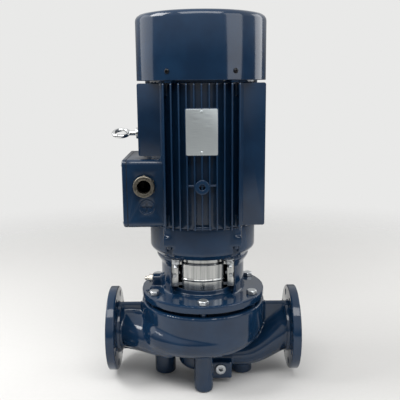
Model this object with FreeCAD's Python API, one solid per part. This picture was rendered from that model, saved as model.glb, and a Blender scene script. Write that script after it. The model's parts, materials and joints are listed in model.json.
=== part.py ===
import FreeCAD, Part
import math
import os

from FreeCAD import Placement, Rotation, Vector

# In-line circulation pump with a vertical motor, in millimetres.
# The origin is on the pump's axis at the soles of its feet. +X points to the suction flange,
# -Y to the viewer, +Z up to the motor.

os.makedirs("parts", exist_ok=True)

# Fits and clearances
seat_gap = 0.3          # between curved faces that lie side by side
turn_gap = 0.05         # radial, a hole round a turning shaft
register_gap = 0.1      # radial, a spigot in its register
hole_gap = 1.0          # radial, a clearance hole round a bolt
groove_depth = 2.0

# Ports
face_to_face = 500.0
port_z = 125.0
port_bore = 100.0
port_flange_d = 220.0
port_flange_t = 22.0
port_face_d = 158.0
port_face_h = 3.0
port_bolt_circle = 180.0
port_bolt_count = 8
port_bolt_hole = 18.0
port_hub_d = 128.0
port_hub_length = 12.0
bore_step = 0.8         # the machined bore of a port ends in this step

# Casing
casing_wall = 8.5
casing_top_z = 214.0
barrel_d = 321.0
barrel_height = 56.0
belly_depth = 54.0
belly_bottom_d = 236.0
bowl_bottom_z = 24.5
bowl_d = 133.0
rib_t = 12.0
rib_top_z = 197.0
leg_circle = 206.0
front_leg_d = 48.0
side_leg_d = 56.0
leg_edge = 5.0
foot_hole_d = 14.0
foot_hole_depth = 20.0
drain_x = 44.0
drain_z = 42.0
drain_pad_width = 58.0
drain_pad_height = 45.0
drain_pad_y = -80.0
drain_thread_d = 20.0

# Volute: the scroll grows clockwise, seen from above, from the cutwater to the throat
impeller_d = 184.0
cutwater_gap = 4.0
scroll_z = 138.0
throat_d = 68.0
scroll_start_deg = 140.0
scroll_travel_deg = 275.0
scroll_lead_deg = 20.0
scroll_steps = 11

# Head and lantern
head_gap = 9.5
head_flange_d = 319.0
head_flange_t = 20.0
head_bolt_d = 16.0
head_bolt_circle = 284.0
head_bolt_count = 6
head_bolt_depth = 26.0
head_spigot_d = 252.0
head_spigot_depth = 32.0
gasket_t = 1.0
neck_base_d = 216.0
neck_top_d = 172.0
neck_height = 13.0
column_d = 214.0
column_wall = 12.0
window_width = 156.0
rim_d = 237.0
rim_t = 22.0
rim_bore_d = 168.0
lantern_height = 89.0   # from the neck's top to the motor's face
vent_d = 26.0
vent_boss_length = 25.0
vent_thread_d = 10.0
pocket_wall = 7.0

# Rotating parts of the pump
seal_shaft_d = 38.0
impeller_shaft_d = 30.0
impeller_thread_d = 20.0
impeller_outlet = 18.0
impeller_plate = 5.0
impeller_hub_d = 52.0
eye_d = 88.0
eye_ring_d = 102.0
side_clearance = 4.5
blade_count = 6
blade_t = 5.0
blade_inlet_d = 96.0
blade_wrap_deg = 110.0
wear_ring_wall = 7.0
wear_gap = 0.35
stub_hub_d = 66.0
clamp_d = 120.0
clamp_height = 72.0
clamp_split = 3.0
clamp_bolt_d = 10.0
clamp_bolt_x = 46.0
key_width = 12.0
key_height = 8.0

# Mechanical seal
seal_chamber_d = 80.0
seat_bore_d = 54.0
seat_height = 12.0
seal_face_d = 50.0
seal_face_height = 10.0
spring_wire_d = 3.5
spring_turns = 4

# Coupling guards
guard_d = 160.0
guard_sheet = 1.2
guard_half_angle = 43.0
guard_height = 66.5
guard_bead = 2.2
guard_ear_height = 56.0
guard_ear_y = 60.0
guard_lug = 14.0
guard_screw_d = 6.0

# Motor
motor_spigot_d = 180.0
motor_spigot_h = 4.0
motor_face_d = 240.0
motor_bolt_d = 12.0
motor_bolt_circle = 215.0
motor_bolt_deg = 52.0
shield_d = 268.0
shield_height = 82.0
shield_chamfer = 15.0
shield_wall = 12.0
shield_pad = 28.0
shield_pad_height = 24.0
shield_pad_y = 116.0
shield_pad_x = 80.0
shield_bolt_d = 8.0
shield_bolt_circle = 262.0
shield_ear_d = 278.0
frame_core_d = 276.0
frame_wall = 12.0
frame_height = 340.5
fin_pitch = 17.2
fin_t = 4.5
fin_end = 2.5
front_fin_count = 11
side_fin_count = 12
fin_tip_y = 155.0
fin_tip_x = 150.0
fin_corner = 8.0
fan_shield_t = 10.0
core_length = 210.0
core_slots = 24
slot_depth = 24.0
slot_width = 9.0
air_gap = 0.6
rotor_d = 160.0
motor_shaft_d = 42.0
motor_shaft_end = 110.0
bearing_bore_d = 45.0
rotor_shaft_d = 54.0
drive_bearing_d = 100.0
drive_bearing_w = 25.0
fan_bearing_d = 85.0
fan_bearing_w = 19.0
preload_t = 1.2
ball_count = 8

# Fan and its cover
cover_gap = 5.0
cover_d = 317.0
cover_height = 152.5
cover_sheet = 2.5
cover_round = 14.0
cover_screw_deg = 29.0
cover_screw_up = 20.0
cover_screw_d = 6.0
fan_d = 262.0
fan_blade_height = 56.0
fan_blade_count = 8
fan_shaft_d = 38.0
grille_rings = 5
grille_slot = 9.0
grille_web = 7.0
grille_spokes = 6

# Terminal box, on the -X side
box_side_x = 179.0
box_front_y = 102.0
box_rear_y = 100.0
box_bottom_z = 424.0
box_height = 166.0
box_wall = 6.0
box_edge = 12.0
lid_t = 12.0
lid_gasket_t = 1.5
gland_x = -138.0
gland_z = 527.0
gland_d = 52.0
gland_hole_d = 33.0
gland_reach = 14.0
plug_x = -133.0
plug_z = 476.0
plug_d = 40.0
lead_hole_d = 36.0

# Trim on the frame
plate_width = 72.0
plate_height = 104.0
plate_mid_z = 658.0
plate_t = 1.0
eye_z = 645.0
eye_ring_mean_d = 37.0
eye_wire_d = 10.0
eye_thread_d = 12.0
eye_reach = 202.0
eye_tilt_deg = 22.0
lift_boss_d = 34.0
lift_boss_z = 532.0

# Heights that follow
head_bottom_z = casing_top_z + head_gap
deck_z = head_bottom_z + head_flange_t
neck_z = deck_z + neck_height
motor_z = neck_z + lantern_height
spigot_z = casing_top_z - head_spigot_depth
chamber_d = impeller_d + 2 * cutwater_gap
front_plate_z = scroll_z - impeller_outlet / 2
back_plate_z = scroll_z + impeller_outlet / 2
chamber_bottom_z = front_plate_z - impeller_plate - side_clearance
chamber_top_z = back_plate_z + impeller_plate + side_clearance
bowl_floor_z = bowl_bottom_z + casing_wall
eye_lip_z = chamber_bottom_z - 17.0
bowl_roof_z = eye_lip_z - casing_wall
impeller_top_z = chamber_top_z + 9.0
impeller_bottom_z = front_plate_z - 14.0
shaft_end_z = motor_z - motor_shaft_end
recess_z = shaft_end_z - 13.0
seat_bottom_z = recess_z - 12.0 - seat_height
shield_top_z = motor_z + shield_height
fin_bottom_z = shield_top_z + fin_end
frame_top_z = shield_top_z + frame_height
fin_top_z = frame_top_z - fin_end
core_bottom_z = shield_top_z + 63.0
core_top_z = core_bottom_z + core_length
drive_bearing_z = motor_z + 21.0
fan_bearing_z = frame_top_z - 25.0
cover_bottom_z = frame_top_z + cover_gap
cover_top_z = cover_bottom_z + cover_height
frame_bore_d = frame_core_d - 2 * frame_wall


def save(name, shape):
    shape.exportStep("parts/" + name + ".step")
    print(name, len(shape.Solids), round(shape.Volume / 1000.0, 1), "cm3")


def block(x0, x1, y0, y1, z0, z1):
    return Part.makeBox(x1 - x0, y1 - y0, z1 - z0, Vector(x0, y0, z0))


def rod(d, z0, z1, x=0.0, y=0.0):
    return Part.makeCylinder(d / 2, z1 - z0, Vector(x, y, z0))


def bar(d, start, end):
    way = Vector(*end) - Vector(*start)
    return Part.makeCylinder(d / 2, way.Length, Vector(*start), way)


def tube(outer_d, inner_d, z0, z1):
    return rod(outer_d, z0, z1).cut(rod(inner_d, z0 - 1, z1 + 1))


def turned(points):
    """A solid of revolution about Z from a closed outline of (radius, height) points."""
    corners = [Vector(r, 0, z) for r, z in points]
    face = Part.Face(Part.makePolygon(corners + corners[:1]))
    return face.revolve(Vector(0, 0, 0), Vector(0, 0, 1), 360)


def fuse(shapes):
    whole = shapes[0]
    if len(shapes) > 1:
        whole = whole.fuse(shapes[1:])
    return whole.removeSplitter()


def turn(shape, degrees):
    copy = shape.copy()
    copy.rotate(Vector(0, 0, 0), Vector(0, 0, 1), degrees)
    return copy


def around(shape, count, first=0.0):
    return [turn(shape, first + 360.0 * i / count) for i in range(count)]


def polar(d, degrees):
    angle = math.radians(degrees)
    return d / 2 * math.cos(angle), d / 2 * math.sin(angle)


def rounded(shape, radius, wanted):
    """Fillets the edges that wanted(edge) picks."""
    edges = [edge for edge in shape.Edges if wanted(edge)]
    return shape.makeFillet(radius, edges)


def ring_at(z, d):
    """Picks the full circles of diameter d about Z at height z."""
    def wanted(edge):
        curve = edge.Curve
        if not isinstance(curve, Part.Circle):
            return False
        middle = curve.Center
        on_axis = abs(middle.x) + abs(middle.y) < 0.01
        return on_axis and abs(middle.z - z) < 0.01 and abs(curve.Radius - d / 2) < 0.01
    return wanted


def hexagon(across, z0, z1):
    corners = []
    for i in range(6):
        angle = math.radians(30 + 60 * i)
        radius = across / math.sqrt(3)
        corners.append(Vector(radius * math.cos(angle), radius * math.sin(angle), z0))
    face = Part.Face(Part.makePolygon(corners + corners[:1]))
    return face.extrude(Vector(0, 0, z1 - z0))


def hex_bolt(d, grip, washer=0.0):
    """A hexagon bolt with its head above z 0 and its shank down to -grip."""
    across = 1.5 * d
    head_h = 0.65 * d
    head = hexagon(across, washer, washer + head_h)
    head = head.common(Part.makeCone(across, 0.46 * across, 0.75 * d, Vector(0, 0, washer)))
    shank = rod(d, -grip, washer + 0.1)
    pieces = [head, shank]
    if washer:
        pieces.append(rod(2.0 * d, 0, washer))
    return fuse(pieces)


def cap_screw(d, grip):
    """A hexagon socket screw with its head above z 0 and its shank down to -grip."""
    head = rod(1.6 * d, 0, d)
    socket = hexagon(0.8 * d, 0.5 * d, d + 1)
    return fuse([head, rod(d, -grip, 0.1)]).cut(socket)


def aim(shape, place, direction):
    """Turns a shape made along +Z to another direction and moves its origin to a place."""
    copy = shape.copy()
    copy.Placement = Placement(Vector(*place), Rotation(Vector(0, 0, 1), Vector(*direction)))
    return copy


def section(centre, heading_deg, half_width, half_height):
    """An elliptical section of a passage that runs level in the heading."""
    angle = math.radians(heading_deg)
    middle = Vector(*centre)
    side = Vector(-math.sin(angle), math.cos(angle), 0)
    wide = middle + side * (half_width + 0.001)
    high = middle + Vector(0, 0, half_height)
    return Part.Wire(Part.Ellipse(wide, high, middle).toShape())


# Casing

def scroll_path():
    """Centres, headings and radii of the volute from cutwater to throat."""
    stations = []
    whole = scroll_travel_deg + scroll_lead_deg
    for i in range(scroll_steps + 1):
        travelled = scroll_lead_deg + scroll_travel_deg * i / scroll_steps
        angle = scroll_start_deg - scroll_travel_deg * i / scroll_steps
        radius = throat_d / 2 * math.sqrt(travelled / whole)
        x, y = polar(chamber_d + 1.8 * radius, angle)
        stations.append(((x, y, scroll_z), angle - 90.0, radius))
    return stations


def volute(wall):
    """The scroll and the discharge passage, wall thicker all round than the water's way."""
    stations = scroll_path()
    (end_x, end_y, end_z), heading, radius = stations[-1]
    flange_x = face_to_face / 2 - port_face_h - port_flange_t
    reach = flange_x + end_x
    bend = [(0.27, 0.51, 0.2, 0.40), (0.53, 0.16, 0.55, 0.80), (0.78, 0.0, 0.95, 1.0)]
    for along, aside, drop, turned_by in bend:
        centre = (end_x - reach * along, end_y * aside, end_z + (port_z - end_z) * drop)
        turned_to = heading + (-180.0 - heading) * turned_by
        stations.append((centre, turned_to, radius * (1.0 + 0.06 * along)))
    stations.append(((-flange_x, 0.0, port_z), -180.0, port_bore / 2 - bore_step))
    wires = [section(centre, way, r + wall, r + wall) for centre, way, r in stations]
    return Part.makeLoft(wires, True, False)


def suction_passage(wall):
    """The way from the suction flange down under the volute into the bowl."""
    flange_x = face_to_face / 2 - port_face_h - port_flange_t
    bowl_height = (bowl_roof_z - bowl_floor_z) / 2
    bowl_mid = (bowl_roof_z + bowl_floor_z) / 2
    half_width = bowl_d / 2 - casing_wall - 6.0
    port_r = port_bore / 2
    drop = port_z - bowl_mid
    stations = [
        (flange_x, port_z, port_r - bore_step, port_r - bore_step),
        (0.84 * flange_x, port_z - 0.34 * drop, port_r, port_r - 4.0),
        (0.68 * flange_x, port_z - 0.74 * drop, port_r, port_r - 11.0),
        (0.52 * flange_x, bowl_mid + 2.0, half_width, bowl_height + 2.0),
        (0.36 * flange_x, bowl_mid, half_width, bowl_height),
        (0.20 * flange_x, bowl_mid, half_width, bowl_height),
        (0.04 * flange_x, bowl_mid, half_width, bowl_height),
    ]
    wires = [section((x, 0, z), 0.0, w + wall, h + wall) for x, z, w, h in stations]
    return Part.makeLoft(wires, True, False)


def port_flange(side):
    """A flange with a raised face and a hub behind it, on side +1 or -1."""
    face_x = face_to_face / 2
    rim_x = face_x - port_face_h
    back_x = rim_x - port_flange_t
    profile = [
        (0.0, back_x - port_hub_length), (port_hub_d / 2 - 6.0, back_x - port_hub_length),
        (port_hub_d / 2, back_x), (port_flange_d / 2, back_x), (port_flange_d / 2, rim_x),
        (port_face_d / 2, rim_x), (port_face_d / 2, face_x), (0.0, face_x),
    ]
    flange = turned(profile)
    flange = rounded(flange, 4.0, ring_at(back_x, port_flange_d))
    flange = rounded(flange, 2.5, ring_at(rim_x, port_flange_d))
    return aim(flange, (0, 0, port_z), (side, 0, 0))


def casing_outside():
    barrel_bottom_z = casing_top_z - barrel_height
    belly_z = barrel_bottom_z - belly_depth
    start = Vector(barrel_d / 2, 0, barrel_bottom_z)
    end = Vector(belly_bottom_d / 2, 0, belly_z)
    bulge_r = barrel_d / 2 - 0.2 * (barrel_d - belly_bottom_d) / 2
    middle = Vector(bulge_r, 0, belly_z + 0.42 * belly_depth)
    top = Vector(barrel_d / 2, 0, casing_top_z)
    outline = [
        Part.makeLine(Vector(0, 0, casing_top_z), top),
        Part.makeLine(top, start),
        Part.Arc(start, middle, end).toShape(),
        Part.makeLine(end, Vector(0, 0, belly_z)),
        Part.makeLine(Vector(0, 0, belly_z), Vector(0, 0, casing_top_z)),
    ]
    belly = Part.Face(Part.Wire(outline)).revolve(Vector(0, 0, 0), Vector(0, 0, 1), 360)
    belly = rounded(belly, 2.0, ring_at(casing_top_z, barrel_d))
    bowl = rounded(rod(bowl_d, bowl_bottom_z, scroll_z), 16.0, ring_at(bowl_bottom_z, bowl_d))
    pieces = [belly, bowl, volute(casing_wall), suction_passage(casing_wall)]
    pieces += [port_flange(1), port_flange(-1)]
    leg_top_z = belly_z + 20.0
    for degrees, d in ((0, side_leg_d), (90, front_leg_d), (180, side_leg_d), (270, front_leg_d)):
        x, y = polar(leg_circle, degrees)
        leg = rounded(rod(d, 0, leg_top_z), leg_edge, ring_at(0, d))
        if degrees == 0:
            leg = rounded(rod(d, 0, bowl_floor_z), leg_edge, ring_at(0, d))
        leg.translate(Vector(x, y, 0))
        pieces.append(leg)
    pieces += casing_ribs()
    pad_top_z = drain_z + drain_pad_height * 0.4
    pad = block(drain_x - drain_pad_width / 2, drain_x + drain_pad_width / 2, drain_pad_y, -20.0,
                pad_top_z - drain_pad_height, pad_top_z)
    pieces.append(pad.makeFillet(3.0, [e for e in pad.Edges if e.BoundBox.YMax < drain_pad_y + 1]))
    return fuse(pieces)


def casing_ribs():
    """Upright webs over both nozzles, and one under the discharge nozzle down to its leg."""
    back_x = face_to_face / 2 - port_face_h - port_flange_t
    inner_x = barrel_d / 2 - 12.0
    ribs = []
    for side in (1, -1):
        x0, x1 = sorted((side * inner_x, side * (back_x + 1.0)))
        ribs.append(block(x0, x1, -rib_t / 2, rib_t / 2, port_z + 30.0, rib_top_z))
    under = [
        (-back_x - 1.0, port_z - 30.0), (-back_x - 1.0, port_z - 58.0), (-back_x + 24.0, port_z - 62.0),
        (-leg_circle / 2 - 16.0, port_z - 79.0), (-leg_circle / 2, port_z - 79.0),
        (-leg_circle / 2, port_z - 30.0),
    ]
    corners = [Vector(x, -rib_t / 2, z) for x, z in under]
    face = Part.Face(Part.makePolygon(corners + corners[:1]))
    ribs.append(face.extrude(Vector(0, rib_t, 0)))
    return ribs


def casing_inside():
    """Everything that the water and the tools take out of the casting."""
    ring_d = eye_ring_d + 2 * (wear_gap + wear_ring_wall)
    chamber = turned([
        (0.0, bowl_roof_z - 5.0), (eye_d / 2 + 1.0, bowl_roof_z - 5.0), (eye_d / 2 + 1.0, eye_lip_z),
        (ring_d / 2, eye_lip_z), (ring_d / 2, chamber_bottom_z), (chamber_d / 2, chamber_bottom_z),
        (chamber_d / 2, spigot_z), (head_spigot_d / 2, spigot_z), (head_spigot_d / 2, casing_top_z + 1.0),
        (0.0, casing_top_z + 1.0),
    ])
    bowl_bore = bowl_d - 2 * casing_wall
    bowl = rounded(rod(bowl_bore, bowl_floor_z, bowl_roof_z), 9.0, ring_at(bowl_floor_z, bowl_bore))
    voids = [chamber, bowl, volute(0.0), suction_passage(0.0)]
    reach = face_to_face / 2 + 1.0
    start = face_to_face / 2 - port_flange_t - port_face_h - 2.0
    for side in (1, -1):
        voids.append(bar(port_bore, (side * start, 0, port_z), (side * reach, 0, port_z)))
    holes = []
    for side in (1, -1):
        for i in range(port_bolt_count):
            y, z = polar(port_bolt_circle, (i + 0.5) * 360.0 / port_bolt_count)
            x0 = side * (face_to_face / 2 - port_flange_t - port_face_h - port_hub_length)
            holes.append(bar(port_bolt_hole, (x0, y, port_z + z), (side * reach, y, port_z + z)))
    for i in range(head_bolt_count):
        x, y = polar(head_bolt_circle, -90.0 + i * 360.0 / head_bolt_count)
        holes.append(rod(head_bolt_d, casing_top_z - head_bolt_depth, casing_top_z + 1.0, x, y))
    for degrees in (0, 90, 180, 270):
        x, y = polar(leg_circle, degrees)
        holes.append(rod(foot_hole_d, -1.0, foot_hole_depth, x, y))
    holes.append(bar(drain_thread_d, (drain_x, drain_pad_y - 1.0, drain_z), (drain_x, -24.0, drain_z)))
    return voids, holes


def pump_casing():
    body = casing_outside()
    voids, holes = casing_inside()
    for void in voids:
        body = body.cut(void)
    return body.cut(holes)


def casing_wear_ring():
    return tube(eye_ring_d + 2 * (wear_gap + wear_ring_wall), eye_ring_d + 2 * wear_gap,
                eye_lip_z, chamber_bottom_z - 1.0)


def casing_gasket():
    return tube(head_spigot_d - 2.0, chamber_d + 2.0, spigot_z, spigot_z + gasket_t)


def drain_plug():
    """A hexagon socket plug with a collar, seated on the drain pad."""
    collar = rod(1.3 * drain_thread_d, 0, 4.0)
    thread = rod(drain_thread_d, -14.0, 0.1)
    plug = fuse([collar, thread]).cut(hexagon(0.5 * drain_thread_d, -8.0, 5.0))
    return aim(plug, (drain_x, drain_pad_y, drain_z), (0, -1, 0))


# Head and lantern

def lantern():
    seat_z = spigot_z + gasket_t
    spigot_r = head_spigot_d / 2 - register_gap
    plug_r = chamber_d / 2 - seat_gap
    tube_r = seal_chamber_d / 2 + pocket_wall
    column_r = column_d / 2
    column_in = column_r - column_wall
    pocket_floor_z = chamber_top_z + 2 * pocket_wall
    head = turned([
        (seal_chamber_d / 2, chamber_top_z), (plug_r, chamber_top_z), (plug_r, seat_z),
        (spigot_r, seat_z), (spigot_r, head_bottom_z), (head_flange_d / 2, head_bottom_z),
        (head_flange_d / 2, deck_z), (neck_base_d / 2, deck_z), (neck_top_d / 2, neck_z),
        (neck_top_d / 2 - 6.0, neck_z), (neck_top_d / 2 - 6.0, pocket_floor_z), (tube_r, pocket_floor_z),
        (tube_r, recess_z), (seal_shaft_d / 2 + 1.5, recess_z),
        (seal_shaft_d / 2 + 1.5, seat_bottom_z + seat_height),
        (seat_bore_d / 2, seat_bottom_z + seat_height),
        (seat_bore_d / 2, seat_bottom_z), (seal_chamber_d / 2, seat_bottom_z),
    ])
    head = rounded(head, 2.0, ring_at(deck_z, head_flange_d))
    barrel = tube(column_d, 2 * column_in, deck_z - 5.0, motor_z - rim_t + 2.0)
    window = block(-window_width / 2, window_width / 2, -column_r - 5, column_r + 5, neck_z,
                   motor_z - rim_t)
    window = rounded(window, 10.0, upper_edges_along_y)
    columns = barrel.cut(window)
    flare_z = motor_z - rim_t - 6.0
    rim = turned([
        (rim_bore_d / 2, motor_z - rim_t), (column_r - 2.0, motor_z - rim_t), (column_r, flare_z),
        (rim_d / 2, motor_z - 10.0), (rim_d / 2, motor_z), (motor_spigot_d / 2 + register_gap, motor_z),
        (motor_spigot_d / 2 + register_gap, motor_z - motor_spigot_h - 1.0),
        (rim_bore_d / 2, motor_z - motor_spigot_h - 1.0),
    ])
    rim = rim.cut(window.common(block(-window_width, window_width, -200, 200, neck_z, motor_z - rim_t)))
    pieces = [head, columns, rim] + guard_lugs() + vent_boss()
    body = fuse(pieces)
    vent_z = vent_axis_z()
    vent_x = -column_r - vent_boss_length
    body = body.cut(bar(vent_thread_d, (vent_x - 1, 0, vent_z), (-column_r - 4, 0, vent_z)))
    for i in range(head_bolt_count):
        x, y = polar(head_bolt_circle, -90.0 + i * 360.0 / head_bolt_count)
        body = body.cut(rod(head_bolt_d + 2 * hole_gap, head_bottom_z - 1.0, deck_z + 1.0, x, y))
    for x, y in motor_bolt_places():
        body = body.cut(rod(motor_bolt_d + 2 * hole_gap, motor_z - rim_t - 1.0, motor_z + 1.0, x, y))
        body = body.cut(rod(2.2 * motor_bolt_d, motor_z - rim_t - 16.0, motor_z - rim_t, x, y))
    for x, y, z, way in guard_screw_places():
        body = body.cut(bar(guard_screw_d, (x, y, z), (x, y - way * 10.0, z)))
    return body


def upper_edges_along_y(edge):
    return abs(edge.tangentAt(edge.FirstParameter).y) > 0.9 and edge.BoundBox.ZMin > neck_z + 1


def vent_axis_z():
    return deck_z + vent_d / 2 + 6.0


def vent_boss():
    """The raised boss on the head for the air vent, on a low pedestal."""
    z = vent_axis_z()
    end_x = -column_d / 2 - vent_boss_length
    boss = bar(vent_d, (-column_d / 2 + 5.0, 0, z), (end_x, 0, z))
    foot = block(end_x, -column_d / 2 + 5.0, -vent_d / 2, vent_d / 2, deck_z - 2.0, z)
    return [boss, foot]


def guard_lugs():
    """Blocks inside the columns that the guards' side strips are screwed to."""
    lugs = []
    mid_z = neck_z + guard_height / 2
    inner_x = window_width / 2 - guard_lug
    for way in (1, -1):
        for side in (1, -1):
            x0, x1 = sorted((side * inner_x, side * (window_width / 2 + 4.0)))
            y0, y1 = sorted((way * (guard_ear_y - guard_sheet), way * (guard_ear_y - 22.0)))
            lugs.append(block(x0, x1, y0, y1, mid_z - guard_lug / 2, mid_z + guard_lug / 2))
    return lugs


def guard_screw_places():
    mid_z = neck_z + guard_height / 2
    places = []
    for way in (1, -1):
        for side in (1, -1):
            x = side * (window_width / 2 - guard_lug / 2)
            places.append((x, way * (guard_ear_y - guard_sheet), mid_z, way))
    return places


def motor_bolt_places():
    angles = (motor_bolt_deg, 180 - motor_bolt_deg, 180 + motor_bolt_deg, 360 - motor_bolt_deg)
    return [polar(motor_bolt_circle, degrees) for degrees in angles]


def head_bolts():
    grip = deck_z - casing_top_z + head_bolt_depth - 3.0
    bolt = hex_bolt(head_bolt_d, grip)
    bolts = []
    for i in range(head_bolt_count):
        x, y = polar(head_bolt_circle, -90.0 + i * 360.0 / head_bolt_count)
        bolts.append(aim(bolt, (x, y, deck_z), (0, 0, 1)))
    return Part.makeCompound(bolts)


def motor_bolts():
    bolt = hex_bolt(motor_bolt_d, rim_t + 16.0, 2.5)
    places = motor_bolt_places()
    return Part.makeCompound([aim(bolt, (x, y, motor_z - rim_t), (0, 0, -1)) for x, y in places])


def coupling_guard(way):
    """Curved sheet with two beads and a flat strip at each side; way -1 is the front one."""
    bottom_z = neck_z
    top_z = bottom_z + guard_height
    outer = guard_d / 2
    inner = outer - guard_sheet
    bead = guard_bead
    profile = [(inner, bottom_z), (outer, bottom_z)]
    for height in (0.33, 0.93):
        z = bottom_z + height * guard_height
        profile += [(outer, z - 3.0), (outer + bead, z - 1.0), (outer + bead, z + 1.0), (outer, z + 3.0)]
    profile += [(outer, top_z), (inner, top_z)]
    corners = [Vector(r, 0, z) for r, z in profile]
    face = Part.Face(Part.makePolygon(corners + corners[:1]))
    face.rotate(Vector(0, 0, 0), Vector(0, 0, 1), -90.0 - guard_half_angle)
    shell = face.revolve(Vector(0, 0, 0), Vector(0, 0, 1), 2 * guard_half_angle)
    edge_x, _ = polar(guard_d, 90.0 - guard_half_angle)
    pieces = [shell]
    ear_x = window_width / 2 - seat_gap
    for side in (1, -1):
        x0, x1 = sorted((side * (edge_x - guard_sheet - 0.5), side * ear_x))
        pieces.append(block(x0, x1, -guard_ear_y, -guard_ear_y + guard_sheet,
                            bottom_z, bottom_z + guard_ear_height))
    guard = fuse(pieces)
    if way > 0:
        guard = turn(guard, 180)
    for x, y, z, screw_way in guard_screw_places():
        if screw_way == way:
            guard = guard.cut(bar(guard_screw_d + 0.4, (x, y - 3 * way, z), (x, y + 5 * way, z)))
    return guard


def guard_screws():
    screws = []
    for x, y, z, way in guard_screw_places():
        screw = hex_bolt(guard_screw_d, 9.0)
        screws.append(aim(screw, (x, way * guard_ear_y, z), (0, way, 0)))
    return Part.makeCompound(screws)


# Air vent

def vent_body():
    hexa = hexagon(0.75 * vent_d, 0, 9.0)
    neck = rod(13.0, 0, 15.0)
    body = fuse([hexa, neck, rod(vent_thread_d, -12.0, 0.1)])
    body = body.cut(rod(6.0 + 2 * turn_gap, 5.0, 16.0))
    return aim(body, (-column_d / 2 - vent_boss_length, 0, vent_axis_z()), (-1, 0, 0))


def vent_screw():
    head = rounded(rod(10.0, 15.5, 21.0), 1.5, ring_at(21.0, 10.0))
    slot = block(-0.8, 0.8, -6.0, 6.0, 19.5, 22.0)
    screw = fuse([rod(6.0, 6.0, 15.6), head]).cut(slot)
    return aim(screw, (-column_d / 2 - vent_boss_length, 0, vent_axis_z()), (-1, 0, 0))


# Mechanical seal

def seal_seat():
    ring = turned([
        (seal_shaft_d / 2 + 1.0, seat_bottom_z + 0.3), (seat_bore_d / 2 - register_gap, seat_bottom_z + 0.3),
        (seat_bore_d / 2 - register_gap, seat_bottom_z + 5.0), (seat_bore_d / 2 - 3.0, seat_bottom_z + 5.0),
        (seat_bore_d / 2 - 3.0, seat_bottom_z + seat_height),
        (seal_shaft_d / 2 + 1.0, seat_bottom_z + seat_height),
    ])
    return ring


def seat_ring():
    """The square-section rubber ring that holds the seat in its bore."""
    return tube(seat_bore_d - 2 * register_gap, seat_bore_d - 6.0 + 2 * register_gap,
                seat_bottom_z + 5.0, seat_bottom_z + seat_height)


def seal_face():
    return tube(seal_face_d, seal_shaft_d + 1.0, seat_bottom_z - seal_face_height, seat_bottom_z)


def seal_bellows():
    top_z = seat_bottom_z - seal_face_height
    folds = []
    base_z = impeller_top_z + 4.0
    pitch = (top_z - base_z) / 3
    inner = seal_shaft_d / 2 + turn_gap
    points = [(inner, base_z), (inner + 4.5, base_z)]
    for i in range(3):
        points += [(inner + 4.5, base_z + pitch * (i + 0.3)), (inner + 2.5, base_z + pitch * (i + 0.5)),
                   (inner + 4.5, base_z + pitch * (i + 0.8))]
    points += [(inner + 4.5, top_z), (inner, top_z)]
    folds.append(turned(points))
    return fuse(folds)


def seal_spring():
    """Coil spring, from the retainer on the impeller's hub up to the rotating face."""
    radius = seal_face_d / 2 - spring_wire_d / 2 + 3.0
    base_z = impeller_top_z + 4.0 + spring_wire_d / 2
    top_z = seat_bottom_z - seal_face_height - spring_wire_d / 2 + 4.0
    pitch = (top_z - base_z) / spring_turns
    helix = Part.makeHelix(pitch, top_z - base_z, radius)
    ring = Part.Wire(Part.Circle(Vector(radius, 0, 0), Vector(0, 1, pitch / (2 * math.pi * radius)),
                                 spring_wire_d / 2).toShape())
    coil = Part.Wire(helix).makePipeShell([ring], True, False)
    coil.translate(Vector(0, 0, base_z))
    return coil


def spring_retainer():
    return tube(seal_face_d + 12.0, seal_shaft_d + 2 * turn_gap, impeller_top_z, impeller_top_z + 4.0)


# Rotating parts of the pump

def blade_outline():
    """Camber line of one impeller blade, a log spiral from eye to rim."""
    points = []
    for i in range(7):
        share = i / 6.0
        radius = blade_inlet_d / 2 * (impeller_d / blade_inlet_d) ** share
        angle = math.radians(blade_wrap_deg * share)
        points.append((radius, angle))
    return points


def impeller():
    hub_r = impeller_hub_d / 2
    rim_r = impeller_d / 2
    back = turned([
        (impeller_shaft_d / 2, impeller_bottom_z), (hub_r - 6.0, impeller_bottom_z),
        (hub_r, back_plate_z - 14.0), (hub_r + 14.0, back_plate_z - 2.0), (rim_r, back_plate_z),
        (rim_r, back_plate_z + impeller_plate), (hub_r, back_plate_z + impeller_plate),
        (hub_r, impeller_top_z), (impeller_shaft_d / 2, impeller_top_z),
    ])
    eye_r = eye_d / 2
    front = turned([
        (eye_r, eye_lip_z + 1.5), (eye_ring_d / 2, eye_lip_z + 1.5),
        (eye_ring_d / 2, chamber_bottom_z + 2.0),
        (eye_ring_d / 2 + 8.0, front_plate_z - impeller_plate), (rim_r, front_plate_z - impeller_plate),
        (rim_r, front_plate_z), (eye_ring_d / 2 + 2.0, front_plate_z), (eye_r, front_plate_z - 9.0),
    ])
    blades = []
    camber = blade_outline()
    inner_side = []
    outer_side = []
    for radius, angle in camber:
        half = blade_t / 2 / radius
        inner_side.append(Vector(radius * math.cos(angle + half), radius * math.sin(angle + half), 0))
        outer_side.append(Vector(radius * math.cos(angle - half), radius * math.sin(angle - half), 0))
    one = Part.BSplineCurve()
    one.interpolate(inner_side)
    two = Part.BSplineCurve()
    two.interpolate(outer_side)
    edges = [one.toShape(), Part.makeLine(inner_side[-1], outer_side[-1]), two.toShape(),
             Part.makeLine(outer_side[0], inner_side[0])]
    face = Part.Face(Part.Wire(Part.__sortEdges__(edges)))
    blade = face.extrude(Vector(0, 0, impeller_outlet + 2.0))
    blade.translate(Vector(0, 0, front_plate_z - 1.0))
    blades = around(blade, blade_count)
    wheel = fuse([back, front] + blades)
    wheel = wheel.cut(key_slot(impeller_shaft_d, impeller_key_width(), impeller_bottom_z, impeller_top_z))
    balance_hole = rod(8.0, back_plate_z - 5.0, back_plate_z + 10.0, impeller_hub_d / 2 + 7.0, 0)
    return wheel.cut(around(balance_hole, blade_count))


def impeller_key_width():
    return 8.0


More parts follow.
